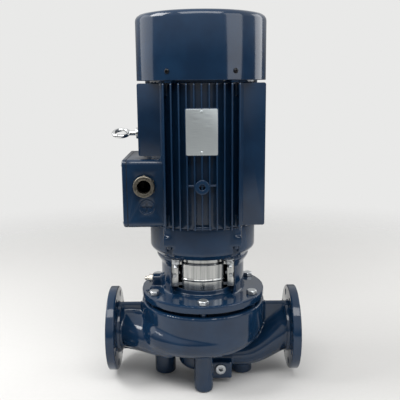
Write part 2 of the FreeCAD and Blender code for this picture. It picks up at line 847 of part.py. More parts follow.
def key_slot(shaft_d, width, z0, z1):
    """The hub's half of a keyway, on the -Y side, with the key's play."""
    top = shaft_d / 2 + 3.3
    return block(-width / 2 - 0.05, width / 2 + 0.05, -top, 0, z0 - 1.0, z1 + 1.0)


def shaft_slot(shaft_d, width, z0, z1):
    """The shaft's half of a keyway, on the -Y side."""
    floor = shaft_d / 2 - 4.0
    return block(-width / 2, width / 2, -shaft_d, -floor, z0, z1)


def key(shaft_d, width, z0, z1):
    floor = shaft_d / 2 - 4.0
    return block(-width / 2, width / 2, -shaft_d / 2 - 3.0, -floor, z0, z1)


def stub_shaft():
    """Carries the impeller and plugs onto the motor's shaft end."""
    hub_top_z = motor_z - motor_spigot_h - 4.0
    thread_end_z = impeller_bottom_z - 22.0
    shaft = turned([
        (0.0, thread_end_z), (impeller_thread_d / 2, thread_end_z),
        (impeller_thread_d / 2, impeller_bottom_z + 1.0),
        (impeller_shaft_d / 2 - turn_gap, impeller_bottom_z + 1.0),
        (impeller_shaft_d / 2 - turn_gap, impeller_top_z),
        (seal_shaft_d / 2, impeller_top_z), (seal_shaft_d / 2, recess_z + 3.0),
        (stub_hub_d / 2 + 6.0, recess_z + 3.0), (stub_hub_d / 2 + 6.0, recess_z + 7.0),
        (stub_hub_d / 2, recess_z + 7.0), (stub_hub_d / 2, hub_top_z),
        (motor_shaft_d / 2 + turn_gap, hub_top_z), (motor_shaft_d / 2 + turn_gap, shaft_end_z - 2.0),
        (0.0, shaft_end_z - 2.0),
    ])
    shaft = shaft.cut(shaft_slot(impeller_shaft_d, impeller_key_width(), impeller_bottom_z + 6.0,
                                 impeller_top_z - 6.0))
    shaft = shaft.cut(key_slot(motor_shaft_d, key_width, shaft_end_z, hub_top_z))
    slot_bottom_z = shaft_end_z + 12.0
    cross = block(-stub_hub_d, stub_hub_d, -1.5, 1.5, slot_bottom_z, hub_top_z + 1)
    return shaft.cut(cross)


def impeller_nut():
    z = impeller_bottom_z - 2.0
    washer = tube(1.8 * impeller_thread_d, impeller_thread_d + 2 * turn_gap, z, z + 2.0)
    nut = hexagon(1.5 * impeller_thread_d, z - 16.0, z)
    nut = nut.cut(rod(impeller_thread_d + 2 * turn_gap, z - 20, z + 1))
    return fuse([washer, nut])


def coupling_half(way):
    """One half of the clamp that grips the slotted stub shaft; way -1 is the front one."""
    z0 = clamp_bottom_z()
    z1 = z0 + clamp_height
    ring = tube(clamp_d, stub_hub_d + 2 * turn_gap, z0, z1)
    ring = rounded(ring, 4.0, lambda e: ring_at(z0, clamp_d)(e) or ring_at(z1, clamp_d)(e))
    keep = block(-clamp_d, clamp_d, clamp_split / 2, clamp_d, z0 - 1, z1 + 1)
    half = ring.common(keep)
    for x, z in clamp_bolt_places():
        half = half.cut(bar(clamp_bolt_d + 0.6, (x, 0, z), (x, clamp_d, z)))
        half = half.cut(bar(1.7 * clamp_bolt_d, (x, clamp_head_y(), z), (x, clamp_d, z)))
    if way < 0:
        half = turn(half, 180)
    return half


def clamp_bottom_z():
    return motor_z - motor_spigot_h - 6.0 - clamp_height


def clamp_head_y():
    return 22.0


def clamp_bolt_places():
    z0 = clamp_bottom_z()
    heights = (z0 + 0.25 * clamp_height, z0 + 0.75 * clamp_height)
    return [(side * clamp_bolt_x, z) for side in (1, -1) for z in heights]


def coupling_screws():
    """Clamping screws, heads in front, running through both halves."""
    screw = cap_screw(clamp_bolt_d, 2 * clamp_head_y() - 1.0)
    seats = [(x, -clamp_head_y(), z) for x, z in clamp_bolt_places()]
    return Part.makeCompound([aim(screw, seat, (0, -1, 0)) for seat in seats])


# Motor

def drive_end_shield():
    outer = shield_d / 2
    seat_r = drive_bearing_d / 2
    hub_r = seat_r + 9.0
    inner = outer - shield_wall
    seal_z = motor_z + 6.0
    bore_z = drive_bearing_z
    top_z = drive_bearing_z + drive_bearing_w + 3.0
    body = turned([
        (rotor_shaft_d / 2 - 4.0, motor_z - motor_spigot_h), (motor_spigot_d / 2, motor_z - motor_spigot_h),
        (motor_spigot_d / 2, motor_z), (motor_face_d / 2, motor_z), (outer, motor_z + shield_chamfer),
        (outer, shield_top_z), (frame_bore_d / 2 - register_gap, shield_top_z),
        (frame_bore_d / 2 - register_gap, shield_top_z + 6.0), (inner - 6.0, shield_top_z + 6.0),
        (inner - 6.0, motor_z + shield_chamfer + 6.0), (hub_r, motor_z + shield_chamfer + 2.0),
        (hub_r, top_z), (seat_r, top_z), (seat_r, bore_z), (lip_seal_d() / 2, bore_z - 1.0),
        (lip_seal_d() / 2, seal_z), (rotor_shaft_d / 2 - 4.0, seal_z),
    ])
    pads = []
    pad_top_z = shield_top_z - shield_pad_height
    for x_side in (1, -1):
        for y_side in (1, -1):
            near_x = x_side * (shield_pad_x - shield_pad / 2)
            x0, x1 = sorted((near_x, near_x + x_side * shield_pad))
            y0, y1 = sorted((y_side * 84.0, y_side * shield_pad_y))
            pad = block(x0, x1, y0, y1, pad_top_z - 24.0, pad_top_z)
            ear = block(x0, x1, y0, y1, pad_top_z - 1.0, shield_top_z)
            ear = ear.common(rod(shield_ear_d, pad_top_z - 2, shield_top_z + 1))
            pads += [pad, ear]
    body = fuse([body] + pads)
    for x, y in motor_bolt_places():
        body = body.cut(rod(motor_bolt_d, motor_z - 1.0, motor_z + 20.0, x, y))
    for x, y in shield_bolt_places():
        body = body.cut(rod(shield_bolt_d + 2 * hole_gap, pad_top_z - 40.0, shield_top_z + 7.0, x, y))
        body = body.cut(rod(2.2 * shield_bolt_d, motor_z - 1.0, pad_top_z - 24.0, x, y))
    return body


def shield_bolt_places():
    y = math.sqrt((shield_bolt_circle / 2) ** 2 - shield_pad_x ** 2)
    return [(sx * shield_pad_x, sy * y) for sx in (1, -1) for sy in (1, -1)]


def lip_seal_d():
    return 62.0


def lip_seal():
    z = motor_z + 6.0
    return turned([
        (motor_shaft_d / 2 + 1.5, z), (lip_seal_d() / 2 - turn_gap, z),
        (lip_seal_d() / 2 - turn_gap, z + 8.0), (motor_shaft_d / 2 + 5.0, z + 8.0),
        (motor_shaft_d / 2 + 5.0, z + 3.0), (motor_shaft_d / 2 + 1.5, z + 3.0),
    ])


def fin_plate(depth_in, depth_out, z0, z1):
    """A fin that reaches out along +X, with rounded outer corners."""
    r = fin_corner
    a = r * (1 - math.sqrt(0.5))
    points = [Vector(depth_in, 0, z0), Vector(depth_out - r, 0, z0), Vector(depth_out, 0, z0 + r),
              Vector(depth_out, 0, z1 - r), Vector(depth_out - r, 0, z1), Vector(depth_in, 0, z1)]
    low = Part.Arc(points[1], Vector(depth_out - a, 0, z0 + a), points[2]).toShape()
    high = Part.Arc(points[3], Vector(depth_out - a, 0, z1 - a), points[4]).toShape()
    edges = [Part.makeLine(points[0], points[1]), low, Part.makeLine(points[2], points[3]), high,
             Part.makeLine(points[4], points[5]), Part.makeLine(points[5], points[0])]
    plate = Part.Face(Part.Wire(edges)).extrude(Vector(0, fin_t, 0))
    plate.translate(Vector(0, -fin_t / 2, 0))
    return plate


def fin_group(count, tip, heading):
    """Parallel fins that reach out to the same tip plane on one side of the frame."""
    core_r = frame_core_d / 2
    fins = []
    for i in range(count):
        offset = (i - (count - 1) / 2.0) * fin_pitch
        root = math.sqrt(core_r ** 2 - (abs(offset) + fin_t / 2) ** 2) - 4.0
        fin = fin_plate(root, tip, fin_bottom_z, fin_top_z)
        fin.translate(Vector(0, offset, 0))
        fins.append(turn(fin, heading))
    return fins


def motor_frame():
    core_r = frame_core_d / 2
    core = rod(frame_core_d, shield_top_z, frame_top_z)
    fins = fin_group(front_fin_count, fin_tip_y, -90) + fin_group(front_fin_count, fin_tip_y, 90)
    fins += fin_group(side_fin_count, fin_tip_x, 0) + fin_group(side_fin_count, fin_tip_x, 180)
    pad_x = plate_width / 2 + 2.0
    pad_z = plate_height / 2 + 2.0
    plate_pad = block(-pad_x, pad_x, -fin_tip_y, -fin_tip_y + 22.0, plate_mid_z - pad_z, plate_mid_z + pad_z)
    boss = bar(lift_boss_d, (0, -core_r + 8, lift_boss_z), (0, -fin_tip_y - 2.0, lift_boss_z))
    web_x = 2 * fin_pitch
    web = block(-web_x, web_x, -fin_tip_y + 5.0, -core_r + 20.0, lift_boss_z, lift_boss_z + 5.0)
    foot_pad = block(-21.0, 21.0, -fin_tip_y + 8.0, -core_r + 15, shield_top_z + 1.0, fin_bottom_z + 6.0)
    eye_boss = bar(34.0, (-core_r + 8, 0, eye_z), (-fin_tip_x - 8.0, 0, eye_z))
    corner = frame_corners()
    frame = fuse([core] + fins + [plate_pad, boss, web, foot_pad, eye_boss] + corner)
    frame = frame.cut(box_seat())
    frame = frame.cut(rod(frame_bore_d, shield_top_z - 1.0, frame_top_z + 1.0))
    frame = frame.cut(bar(14.0, (0, -fin_tip_y - 3, lift_boss_z), (0, -core_r + 6, lift_boss_z)))
    frame = frame.cut(bar(eye_thread_d, (-fin_tip_x - 9, 0, eye_z), (-core_r + 2.0, 0, eye_z)))
    lead_z = box_bottom_z + 46.0
    frame = frame.cut(bar(lead_hole_d, (-core_r - 5, 0, lead_z), (-core_r + frame_wall + 5, 0, lead_z)))
    for x, y in shield_bolt_places():
        frame = frame.cut(rod(shield_bolt_d, shield_top_z - 1.0, shield_top_z + 24.0, x, y))
        frame = frame.cut(rod(shield_bolt_d, frame_top_z - 24.0, frame_top_z + 1.0, x, y))
    return frame


def box_seat():
    """The room between the -X fins that the terminal box takes."""
    x1 = -(front_fin_count - 1) / 2 * fin_pitch - fin_t
    z1 = box_bottom_z + box_height + 4.0
    room = block(-fin_tip_x - 10, x1, -box_front_y - 4, box_rear_y + 4, box_bottom_z - seat_gap, z1)
    return room.cut(rod(frame_core_d, box_bottom_z - 5, z1 + 5))


def frame_corners():
    """Four solid corner strips between the fin groups, which hold the shields' bolts."""
    corners = []
    for sx in (1, -1):
        for sy in (1, -1):
            x0, x1 = sorted((sx * 70.0, sx * 92.0))
            y0, y1 = sorted((sy * 92.0, sy * 118.0))
            for z0, z1 in ((shield_top_z, shield_top_z + 30.0), (frame_top_z - 30.0, frame_top_z)):
                corners.append(block(x0, x1, y0, y1, z0, z1).common(rod(shield_d + 16.0, z0, z1)))
    return corners


def stator_slots(z0, z1, extra):
    slots = []
    bore = rotor_d / 2 + air_gap
    for i in range(core_slots):
        half = slot_width / 2 - extra
        slot = block(bore + 3.0, bore + 3.0 + slot_depth, -half, half, z0, z1)
        slots.append(turn(slot, 360.0 * (i + 0.5) / core_slots))
    return slots


def stator_core():
    core = tube(frame_bore_d - 2 * 0.02, rotor_d + 2 * air_gap, core_bottom_z, core_top_z)
    return core.cut(stator_slots(core_bottom_z - 1, core_top_z + 1, 0.0))


def stator_winding():
    bore = rotor_d / 2 + air_gap + 4.0
    ends = []
    for z0, z1 in ((core_bottom_z - 38.0, core_bottom_z - 0.5), (core_top_z + 0.5, core_top_z + 38.0)):
        ring = tube(2 * (bore + slot_depth), 2 * bore, z0, z1)
        ends.append(ring)
    return fuse(ends + stator_slots(core_bottom_z - 2, core_top_z + 2, 0.2))


def rotor_core():
    core = tube(rotor_d, rotor_shaft_d + 2 * 0.01, core_bottom_z, core_top_z)
    ends = []
    for z0, z1, way in ((core_bottom_z - 12.0, core_bottom_z, -1), (core_top_z, core_top_z + 12.0, 1)):
        ends.append(tube(rotor_d - 6.0, rotor_d - 50.0, z0, z1))
        face_z = z0 if way < 0 else z1
        low, high = sorted((face_z, face_z + way * 16.0))
        ends += around(block(rotor_d / 2 - 24.0, rotor_d / 2 - 4.0, -2.0, 2.0, low, high), 10)
    return fuse([core] + ends)


def motor_shaft():
    top_z = fan_top_z() + 6.0
    shoulder = drive_bearing_z + drive_bearing_w
    bearing_r = bearing_bore_d / 2
    journal_end_z = fan_bearing_z + fan_bearing_w + 4.0
    shaft = turned([
        (0.0, shaft_end_z), (motor_shaft_d / 2, shaft_end_z), (motor_shaft_d / 2, drive_bearing_z - 4.0),
        (bearing_r, drive_bearing_z - 4.0), (bearing_r, shoulder), (rotor_shaft_d / 2, shoulder),
        (rotor_shaft_d / 2, fan_bearing_z), (bearing_r, fan_bearing_z), (bearing_r, journal_end_z),
        (fan_shaft_d / 2, journal_end_z), (fan_shaft_d / 2, top_z), (0.0, top_z),
    ])
    clip_z = fan_top_z() + 0.5
    groove = tube(fan_shaft_d + 2, fan_shaft_d - 3.0, clip_z, clip_z + 1.75)
    keyway = shaft_slot(motor_shaft_d, key_width, shaft_end_z + 10.0, shaft_end_z + 90.0)
    return shaft.cut([keyway, groove])


def bearing_ring_outer(bore_z, outer_d, width, ball_d, pitch_d):
    ring = tube(outer_d - 2 * 0.01, pitch_d + 0.55 * ball_d, bore_z, bore_z + width)
    groove = Part.makeTorus(pitch_d / 2, ball_d / 2 + 0.1, Vector(0, 0, bore_z + width / 2))
    return ring.cut(groove)


def bearing_ring_inner(bore_z, width, ball_d, pitch_d):
    ring = tube(pitch_d - 0.55 * ball_d, bearing_bore_d + 2 * 0.01, bore_z, bore_z + width)
    groove = Part.makeTorus(pitch_d / 2, ball_d / 2 + 0.1, Vector(0, 0, bore_z + width / 2))
    return ring.cut(groove)


def bearing_balls(bore_z, width, ball_d, pitch_d):
    ball = Part.makeSphere(ball_d / 2, Vector(pitch_d / 2, 0, bore_z + width / 2))
    mid_z = bore_z + width / 2
    cage = tube(pitch_d + 3.0, pitch_d - 3.0, mid_z - ball_d * 0.3, mid_z + ball_d * 0.3)
    return fuse([cage] + around(ball, ball_count))


def ball_size(outer_d):
    return 0.3 * (outer_d - bearing_bore_d)


def ball_pitch(outer_d):
    return (outer_d + bearing_bore_d) / 2


def preload_washer():
    """Flat-drawn wave washer between the fan-end bearing and its shield."""
    z = fan_bearing_z + fan_bearing_w
    return tube(fan_bearing_d - 2.0, fan_bearing_d - 14.0, z, z + preload_t)


def fan_end_shield():
    outer = frame_core_d / 2
    seat_r = fan_bearing_d / 2
    hub_r = seat_r + 9.0
    inner_z = fan_bearing_z - 2.0
    seat_top_z = fan_bearing_z + fan_bearing_w + preload_t
    top_z = frame_top_z + fan_shield_t
    body = turned([
        (bearing_bore_d / 2 + 2.0, seat_top_z), (bearing_bore_d / 2 + 2.0, top_z),
        (outer - 1.5, top_z), (outer, top_z - 1.5), (outer, frame_top_z),
        (frame_bore_d / 2 - register_gap, frame_top_z), (frame_bore_d / 2 - register_gap, frame_top_z - 6.0),
        (frame_bore_d / 2 - 8.0, frame_top_z - 6.0), (frame_bore_d / 2 - 8.0, frame_top_z),
        (hub_r, frame_top_z), (hub_r, inner_z), (seat_r, inner_z), (seat_r, seat_top_z),
    ])
    lug_out = cover_d / 2 - cover_sheet - seat_gap
    lugs = []
    for degrees in cover_screw_angles():
        lug = block(outer - 14.0, lug_out + 2.0, -9.0, 9.0, frame_top_z, cover_screw_z() + 9.0)
        lug = lug.common(rod(2 * lug_out, frame_top_z, cover_screw_z() + 9.0))
        lugs.append(turn(lug, degrees))
    body = fuse([body] + lugs)
    for degrees in cover_screw_angles():
        hole = bar(cover_screw_d, (lug_out + 1, 0, cover_screw_z()), (lug_out - 14.0, 0, cover_screw_z()))
        body = body.cut(turn(hole, degrees))
    for x, y in shield_bolt_places():
        body = body.cut(rod(shield_bolt_d + hole_gap, frame_top_z - 7.0, top_z + 1.0, x, y))
    return body


def cover_screw_angles():
    return [side + way * cover_screw_deg for side in (-90.0, 90.0) for way in (1, -1)]


def cover_screw_z():
    return cover_bottom_z + cover_screw_up


def shield_bolts_drive():
    """Upright screws under the pads of the drive-end shield, up into the frame."""
    head_z = shield_top_z - shield_pad_height - 24.0
    screw = cap_screw(shield_bolt_d, shield_top_z - head_z + 20.0)
    return Part.makeCompound([aim(screw, (x, y, head_z), (0, 0, -1)) for x, y in shield_bolt_places()])


def shield_bolts_fan():
    top_z = frame_top_z + fan_shield_t
    screw = hex_bolt(shield_bolt_d, fan_shield_t + 20.0)
    return Part.makeCompound([aim(screw, (x, y, top_z), (0, 0, 1)) for x, y in shield_bolt_places()])


# Fan and cover

def fan_base_z():
    return frame_top_z + fan_shield_t + 26.0


def fan_top_z():
    return fan_base_z() + 40.0


def cooling_fan():
    z = fan_base_z()
    hub = tube(60.0, fan_shaft_d + 2 * turn_gap, z, fan_top_z())
    disc = tube(fan_d - 60.0, fan_shaft_d + 4.0, z + 6.0, z + 10.0)
    blade = block(24.0, fan_d / 2, -2.0, 2.0, z + 4.0, z + 4.0 + fan_blade_height)
    slope = Part.makeCone(fan_d / 2 + 6.0, fan_d / 2 - 34.0, fan_blade_height + 4.0, Vector(0, 0, z))
    blade = blade.common(slope)
    wheel = fuse([hub, disc] + around(blade, fan_blade_count, 11.0))
    return wheel.cut(rod(fan_shaft_d + 2 * turn_gap, z - 1, z + 90))


def fan_clip():
    z = fan_top_z() + 0.5
    ring = tube(fan_shaft_d + 8.0, fan_shaft_d - 3.0 + 2 * turn_gap, z + 0.05, z + 1.7)
    return ring.cut(block(0, fan_shaft_d, -5.0, 5.0, z - 1, z + 3))


def grille_slots():
    """Rings of curved slots in the top of the fan cover, between radial webs."""
    pitch = grille_slot + grille_web
    slots = []
    for i in range(grille_rings):
        inner = 34.0 + i * pitch
        ring = tube(2 * (inner + grille_slot), 2 * inner, cover_top_z - 2 * cover_sheet, cover_top_z + 1.0)
        webs = [block(0, cover_d, -4.5, 4.5, cover_top_z - 10, cover_top_z + 5)]
        ring = ring.cut(around(webs[0], grille_spokes))
        slots.append(ring)
    return slots


def fan_cover():
    outer = rounded(rod(cover_d, cover_bottom_z, cover_top_z), cover_round, ring_at(cover_top_z, cover_d))
    inner_d = cover_d - 2 * cover_sheet
    inner = rounded(rod(inner_d, cover_bottom_z - 1, cover_top_z - cover_sheet), cover_round - cover_sheet,
                    ring_at(cover_top_z - cover_sheet, inner_d))
    shell = outer.cut(inner).cut(grille_slots())
    z = cover_screw_z()
    for degrees in cover_screw_angles():
        hole = bar(cover_screw_d + 0.6, (cover_d / 2 - 8, 0, z), (cover_d / 2 + 2, 0, z))
        shell = shell.cut(turn(hole, degrees))
    return shell


def cover_screws():
    screws = []
    for degrees in cover_screw_angles():
        head = rounded(rod(2 * cover_screw_d, 0, 3.5), 1.5, ring_at(3.5, 2 * cover_screw_d))
        screw = fuse([head, rod(cover_screw_d, -12.0, 0.1)]).cut(hexagon(0.6 * cover_screw_d, 1.5, 5.0))
        screw = aim(screw, (cover_d / 2, 0, cover_screw_z()), (1, 0, 0))
        screws.append(turn(screw, degrees))
    return Part.makeCompound(screws)


# Terminal box

def box_form(x0, x1, inset):
    """The box's rounded outline between two planes of X, inset all round."""
    shape = block(x0, x1, -box_front_y + inset, box_rear_y - inset, box_bottom_z + inset,
                  box_bottom_z + box_height - inset)
    edges = [e for e in shape.Edges if abs(e.tangentAt(e.FirstParameter).x) > 0.9]
    return shape.makeFillet(max(2.0, box_edge - inset), edges)


def terminal_box():
    saddle = frame_core_d / 2 + seat_gap
    body = box_form(-box_side_x, -90.0, 0.0).cut(rod(2 * saddle, 0, 1000))
    hollow = box_form(-box_side_x - 1, -96.0, box_wall).cut(rod(2 * (saddle + box_wall), 0, 1000))
    body = body.cut(hollow)
    corner = 16.0
    posts = []
    for y, z in lid_screw_places():
        post = bar(corner, (-box_side_x, y, z), (-saddle - 2.0, y, z))
        posts.append(post.cut(rod(2 * saddle, 0, 1000)))
    body = fuse([body] + posts)
    for y, z in lid_screw_places():
        body = body.cut(bar(6.0, (-box_side_x - 1, y, z), (-box_side_x + 16.0, y, z)))
    y0 = -box_front_y - 1
    y1 = -box_front_y + box_wall + 8
    body = body.cut(bar(gland_thread_d(), (gland_x, y0, gland_z), (gland_x, y1, gland_z)))
    body = body.cut(bar(plug_d, (plug_x, y0, plug_z), (plug_x, y1, plug_z)))
    lead_z = box_bottom_z + 46.0
    return body.cut(bar(lead_hole_d, (-box_side_x + 20, 0, lead_z), (-100, 0, lead_z)))


def lid_screw_places():
    y0 = -box_front_y + 13.0
    y1 = box_rear_y - 13.0
    z0 = box_bottom_z + 13.0
    z1 = box_bottom_z + box_height - 13.0
    return [(y, z) for y in (y0, y1) for z in (z0, z1)]


def gland_thread_d():
    return 40.0


def lid_gasket():
    x1 = -box_side_x
    sheet = box_form(x1 - lid_gasket_t, x1, 1.0)
    ring = sheet.cut(box_form(x1 - 5, x1 + 5, box_wall - 1.0))
    for y, z in lid_screw_places():
        ring = ring.fuse(sheet.common(bar(30.0, (x1 - lid_gasket_t, y, z), (x1, y, z))))
        ring = ring.cut(bar(6.6, (x1 - 9, y, z), (x1 + 5, y, z)))
    return ring.removeSplitter()


def terminal_lid():
    x1 = -box_side_x - lid_gasket_t
    x0 = x1 - lid_t + lid_gasket_t
    lid = box_form(x0, x1, 0.0)
    face_edges = [e for e in lid.Edges if e.BoundBox.XMax < x0 + 0.01]
    lid = lid.makeFillet(5.0, face_edges)
    hollow = box_form(x0 + 4.0, x1 + 1, box_wall + 14.0)
    lid = lid.cut(hollow)
    for y, z in lid_screw_places():
        lid = lid.cut(bar(6.6, (x0 - 1, y, z), (x1 + 1, y, z)))
        lid = lid.cut(bar(13.0, (x0 - 1, y, z), (x0 + 4.0, y, z)))
    return lid


def lid_screws():
    x0 = -box_side_x - lid_t
    screw = cap_screw(6.0, lid_t + 8.0)
    return Part.makeCompound([aim(screw, (x0 + 4.0, y, z), (-1, 0, 0)) for y, z in lid_screw_places()])


def terminal_block():
    """Moulded block with six studs and three links, on the box's saddle wall."""
    base_x = -frame_core_d / 2 - seat_gap - box_wall
    mid_z = box_bottom_z + 112.0
    base = block(base_x - 12.0, base_x - 1.0, -34.0, 34.0, mid_z - 26.0, mid_z + 26.0)
    pieces = [base]
    for foot_z in (mid_z - 18.0, mid_z + 18.0):
        pieces.append(block(base_x - 3.0, base_x + 0.2, -7.0, 7.0, foot_z - 5.0, foot_z + 5.0))
    for rib_y in (-11.5, 11.5):
        pieces.append(block(base_x - 17.0, base_x - 11.0, rib_y - 1.2, rib_y + 1.2,
                            mid_z - 26.0, mid_z + 26.0))
    return fuse(pieces).cut(rod(frame_core_d + 2 * (seat_gap + box_wall), 0, 1000))


def terminal_studs():
    base_x = -frame_core_d / 2 - seat_gap - box_wall
    mid_z = box_bottom_z + 112.0
    studs = []
    for y in (-23.0, 0.0, 23.0):
        pieces = []
        for dz in (-13.0, 13.0):
            pieces.append(bar(6.0, (base_x - 12.0, y, mid_z + dz), (base_x - 27.0, y, mid_z + dz)))
            nut = aim(hexagon(10.0, 0, 5.0), (base_x - 14.0, y, mid_z + dz), (-1, 0, 0))
            pieces.append(nut)
        pieces.append(block(base_x - 14.0, base_x - 12.0, y - 5.0, y + 5.0, mid_z - 19.0, mid_z + 19.0))
        studs.append(fuse(pieces))
    return Part.makeCompound(studs)


def cable_gland():
    """Brass gland body with its gland nut, open for a cable."""
    hexa = hexagon(gland_d - 4.0, 0, 6.0)
    nut = rounded(rod(gland_d, 5.0, gland_reach), 3.0, ring_at(gland_reach, gland_d))
    thread = rod(gland_thread_d() - 2 * turn_gap, -box_wall - 4.0, 0.1)
    body = fuse([hexa, nut, thread]).cut(rod(gland_hole_d, -30.0, 30.0))
    return aim(body, (gland_x, -box_front_y, gland_z), (0, -1, 0))


def blanking_plug():
    plug = rod(plug_d - 2 * turn_gap, -box_wall, -0.5)
    rim = tube(plug_d - 2 * turn_gap, plug_d - 8.0, -1.0, 0.0)
    cross = [block(-12.0, 12.0, -2.0, 2.0, -3.0, 1.0), block(-2.0, 2.0, -12.0, 12.0, -3.0, 1.0)]
    return aim(fuse([plug, rim]).cut(cross), (plug_x, -box_front_y, plug_z), (0, -1, 0))


# Trim on the frame

def name_plate():
    plate = block(-plate_width / 2, plate_width / 2, -fin_tip_y - plate_t, -fin_tip_y,
                  plate_mid_z - plate_height / 2, plate_mid_z + plate_height / 2)
    upright = [e for e in plate.Edges if abs(e.tangentAt(e.FirstParameter).y) > 0.9]
    return plate.makeFillet(3.0, upright)


def plate_rivets():
    rivets = []
    for way in (1, -1):
        head = Part.makeSphere(4.0, Vector(0, 0, -2.0)).common(rod(10.0, 0, 5.0))
        z = plate_mid_z + way * (plate_height / 2 - 6.0)
        rivets.append(aim(head, (0, -fin_tip_y - plate_t, z), (0, -1, 0)))
    return Part.makeCompound(rivets)


def eye_bolt():
    """Ring bolt screwed sideways into its boss, the ring a little off level."""
    collar_x = fin_tip_x + 8.0
    ring = Part.makeTorus(eye_ring_mean_d / 2, eye_wire_d / 2)
    ring.rotate(Vector(0, 0, 0), Vector(1, 0, 0), eye_tilt_deg)
    ring.translate(Vector(-eye_reach, 0, eye_z))
    neck_x = eye_reach - eye_ring_mean_d / 2
    neck = bar(eye_wire_d + 2.0, (-neck_x - 1.0, 0, eye_z), (-collar_x - 4.0, 0, eye_z))
    collar = bar(28.0, (-collar_x - 6.0, 0, eye_z), (-collar_x, 0, eye_z))
    shank = bar(eye_thread_d, (-collar_x - 1.0, 0, eye_z), (-collar_x + 16.0, 0, eye_z))
    return fuse([ring, neck, collar, shank])


def build():
    save("pump_casing", pump_casing())
    save("casing_wear_ring", casing_wear_ring())
    save("casing_gasket", casing_gasket())
    save("drain_plug", drain_plug())
    save("lantern", lantern())
    save("head_bolts", head_bolts())
    save("motor_bolts", motor_bolts())
    save("front_guard", coupling_guard(-1))
    save("rear_guard", coupling_guard(1))
    save("guard_screws", guard_screws())
    save("vent_body", vent_body())
    save("vent_screw", vent_screw())
    save("seal_seat", seal_seat())
    save("seat_ring", seat_ring())
    save("seal_face", seal_face())
    save("seal_bellows", seal_bellows())
    save("seal_spring", seal_spring())
    save("spring_retainer", spring_retainer())
    save("impeller", impeller())
    save("impeller_key", key(impeller_shaft_d, impeller_key_width(), impeller_bottom_z + 6.0,
                             impeller_top_z - 6.0))
    save("impeller_nut", impeller_nut())
    save("stub_shaft", stub_shaft())
    save("coupling_half_front", coupling_half(-1))
    save("coupling_half_rear", coupling_half(1))
    save("coupling_screws", coupling_screws())
    save("coupling_key", key(motor_shaft_d, key_width, shaft_end_z + 10.0, shaft_end_z + 90.0))
    save("drive_end_shield", drive_end_shield())
    save("lip_seal", lip_seal())
    save("motor_frame", motor_frame())
    save("stator_core", stator_core())
    save("stator_winding", stator_winding())
    save("rotor_core", rotor_core())
    save("motor_shaft", motor_shaft())
    for name, z, outer_d, width in (
        ("drive_bearing", drive_bearing_z, drive_bearing_d, drive_bearing_w),
        ("fan_bearing", fan_bearing_z, fan_bearing_d, fan_bearing_w),
    ):
        ball_d = ball_size(outer_d)
        pitch_d = ball_pitch(outer_d)
        save(name + "_outer", bearing_ring_outer(z, outer_d, width, ball_d, pitch_d))
        save(name + "_inner", bearing_ring_inner(z, width, ball_d, pitch_d))
        save(name + "_balls", bearing_balls(z, width, ball_d, pitch_d))
    save("preload_washer", preload_washer())
    save("fan_end_shield", fan_end_shield())
    save("shield_bolts_drive", shield_bolts_drive())
    save("shield_bolts_fan", shield_bolts_fan())
    save("cooling_fan", cooling_fan())
    save("fan_clip", fan_clip())
    save("fan_cover", fan_cover())
    save("cover_screws", cover_screws())
    save("terminal_box", terminal_box())
    save("lid_gasket", lid_gasket())
    save("terminal_lid", terminal_lid())
    save("lid_screws", lid_screws())
    save("terminal_block", terminal_block())
    save("terminal_studs", terminal_studs())
    save("cable_gland", cable_gland())
    save("blanking_plug", blanking_plug())
    save("name_plate", name_plate())
    save("plate_rivets", plate_rivets())
    save("eye_bolt", eye_bolt())


build()
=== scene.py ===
import json
import math

import bmesh
import bpy
from mathutils import Matrix, Vector

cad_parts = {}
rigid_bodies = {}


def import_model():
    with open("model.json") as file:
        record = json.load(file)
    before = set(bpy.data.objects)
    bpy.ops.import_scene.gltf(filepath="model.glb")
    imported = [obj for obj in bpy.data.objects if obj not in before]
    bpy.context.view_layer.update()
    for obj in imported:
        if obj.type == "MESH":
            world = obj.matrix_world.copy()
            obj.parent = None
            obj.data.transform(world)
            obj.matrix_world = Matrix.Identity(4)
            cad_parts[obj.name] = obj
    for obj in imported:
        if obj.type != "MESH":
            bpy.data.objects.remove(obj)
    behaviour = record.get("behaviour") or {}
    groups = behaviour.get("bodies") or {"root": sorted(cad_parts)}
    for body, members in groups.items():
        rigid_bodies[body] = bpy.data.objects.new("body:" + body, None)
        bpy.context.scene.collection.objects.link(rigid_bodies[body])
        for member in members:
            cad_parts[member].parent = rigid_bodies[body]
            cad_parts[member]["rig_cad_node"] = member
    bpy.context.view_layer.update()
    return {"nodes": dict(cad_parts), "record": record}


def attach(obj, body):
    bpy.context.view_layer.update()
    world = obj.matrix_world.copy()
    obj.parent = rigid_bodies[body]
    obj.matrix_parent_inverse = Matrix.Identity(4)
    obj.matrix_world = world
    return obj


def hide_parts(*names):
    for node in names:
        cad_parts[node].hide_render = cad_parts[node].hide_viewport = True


# In-line circulation pump in navy enamel, on a pale studio floor. Lengths in metres, angles in degrees.

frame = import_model()
mm = 0.001
tau = 2 * math.pi
print("frame loaded:", len(frame["nodes"]), "nodes")


# Shading helpers

def linearFrom(hexCode):
    channels = [int(hexCode[i:i + 2], 16) / 255 for i in (1, 3, 5)]
    return [c / 12.92 if c <= 0.04045 else ((c + 0.055) / 1.055) ** 2.4 for c in channels] + [1.0]


# Adds one node: settings name its properties or sockets, links say what feeds which socket, where a node
# stands for its first output.
def addNode(tree, kind, settings=None, links=None):
    node = tree.nodes.new(kind)
    for name, value in (settings or {}).items():
        if isinstance(name, str) and hasattr(node, name):
            setattr(node, name, value)
        else:
            node.inputs[name].default_value = value
    for name, source in (links or {}).items():
        tree.links.new(source.outputs[0] if isinstance(source, bpy.types.Node) else source, node.inputs[name])
    return node


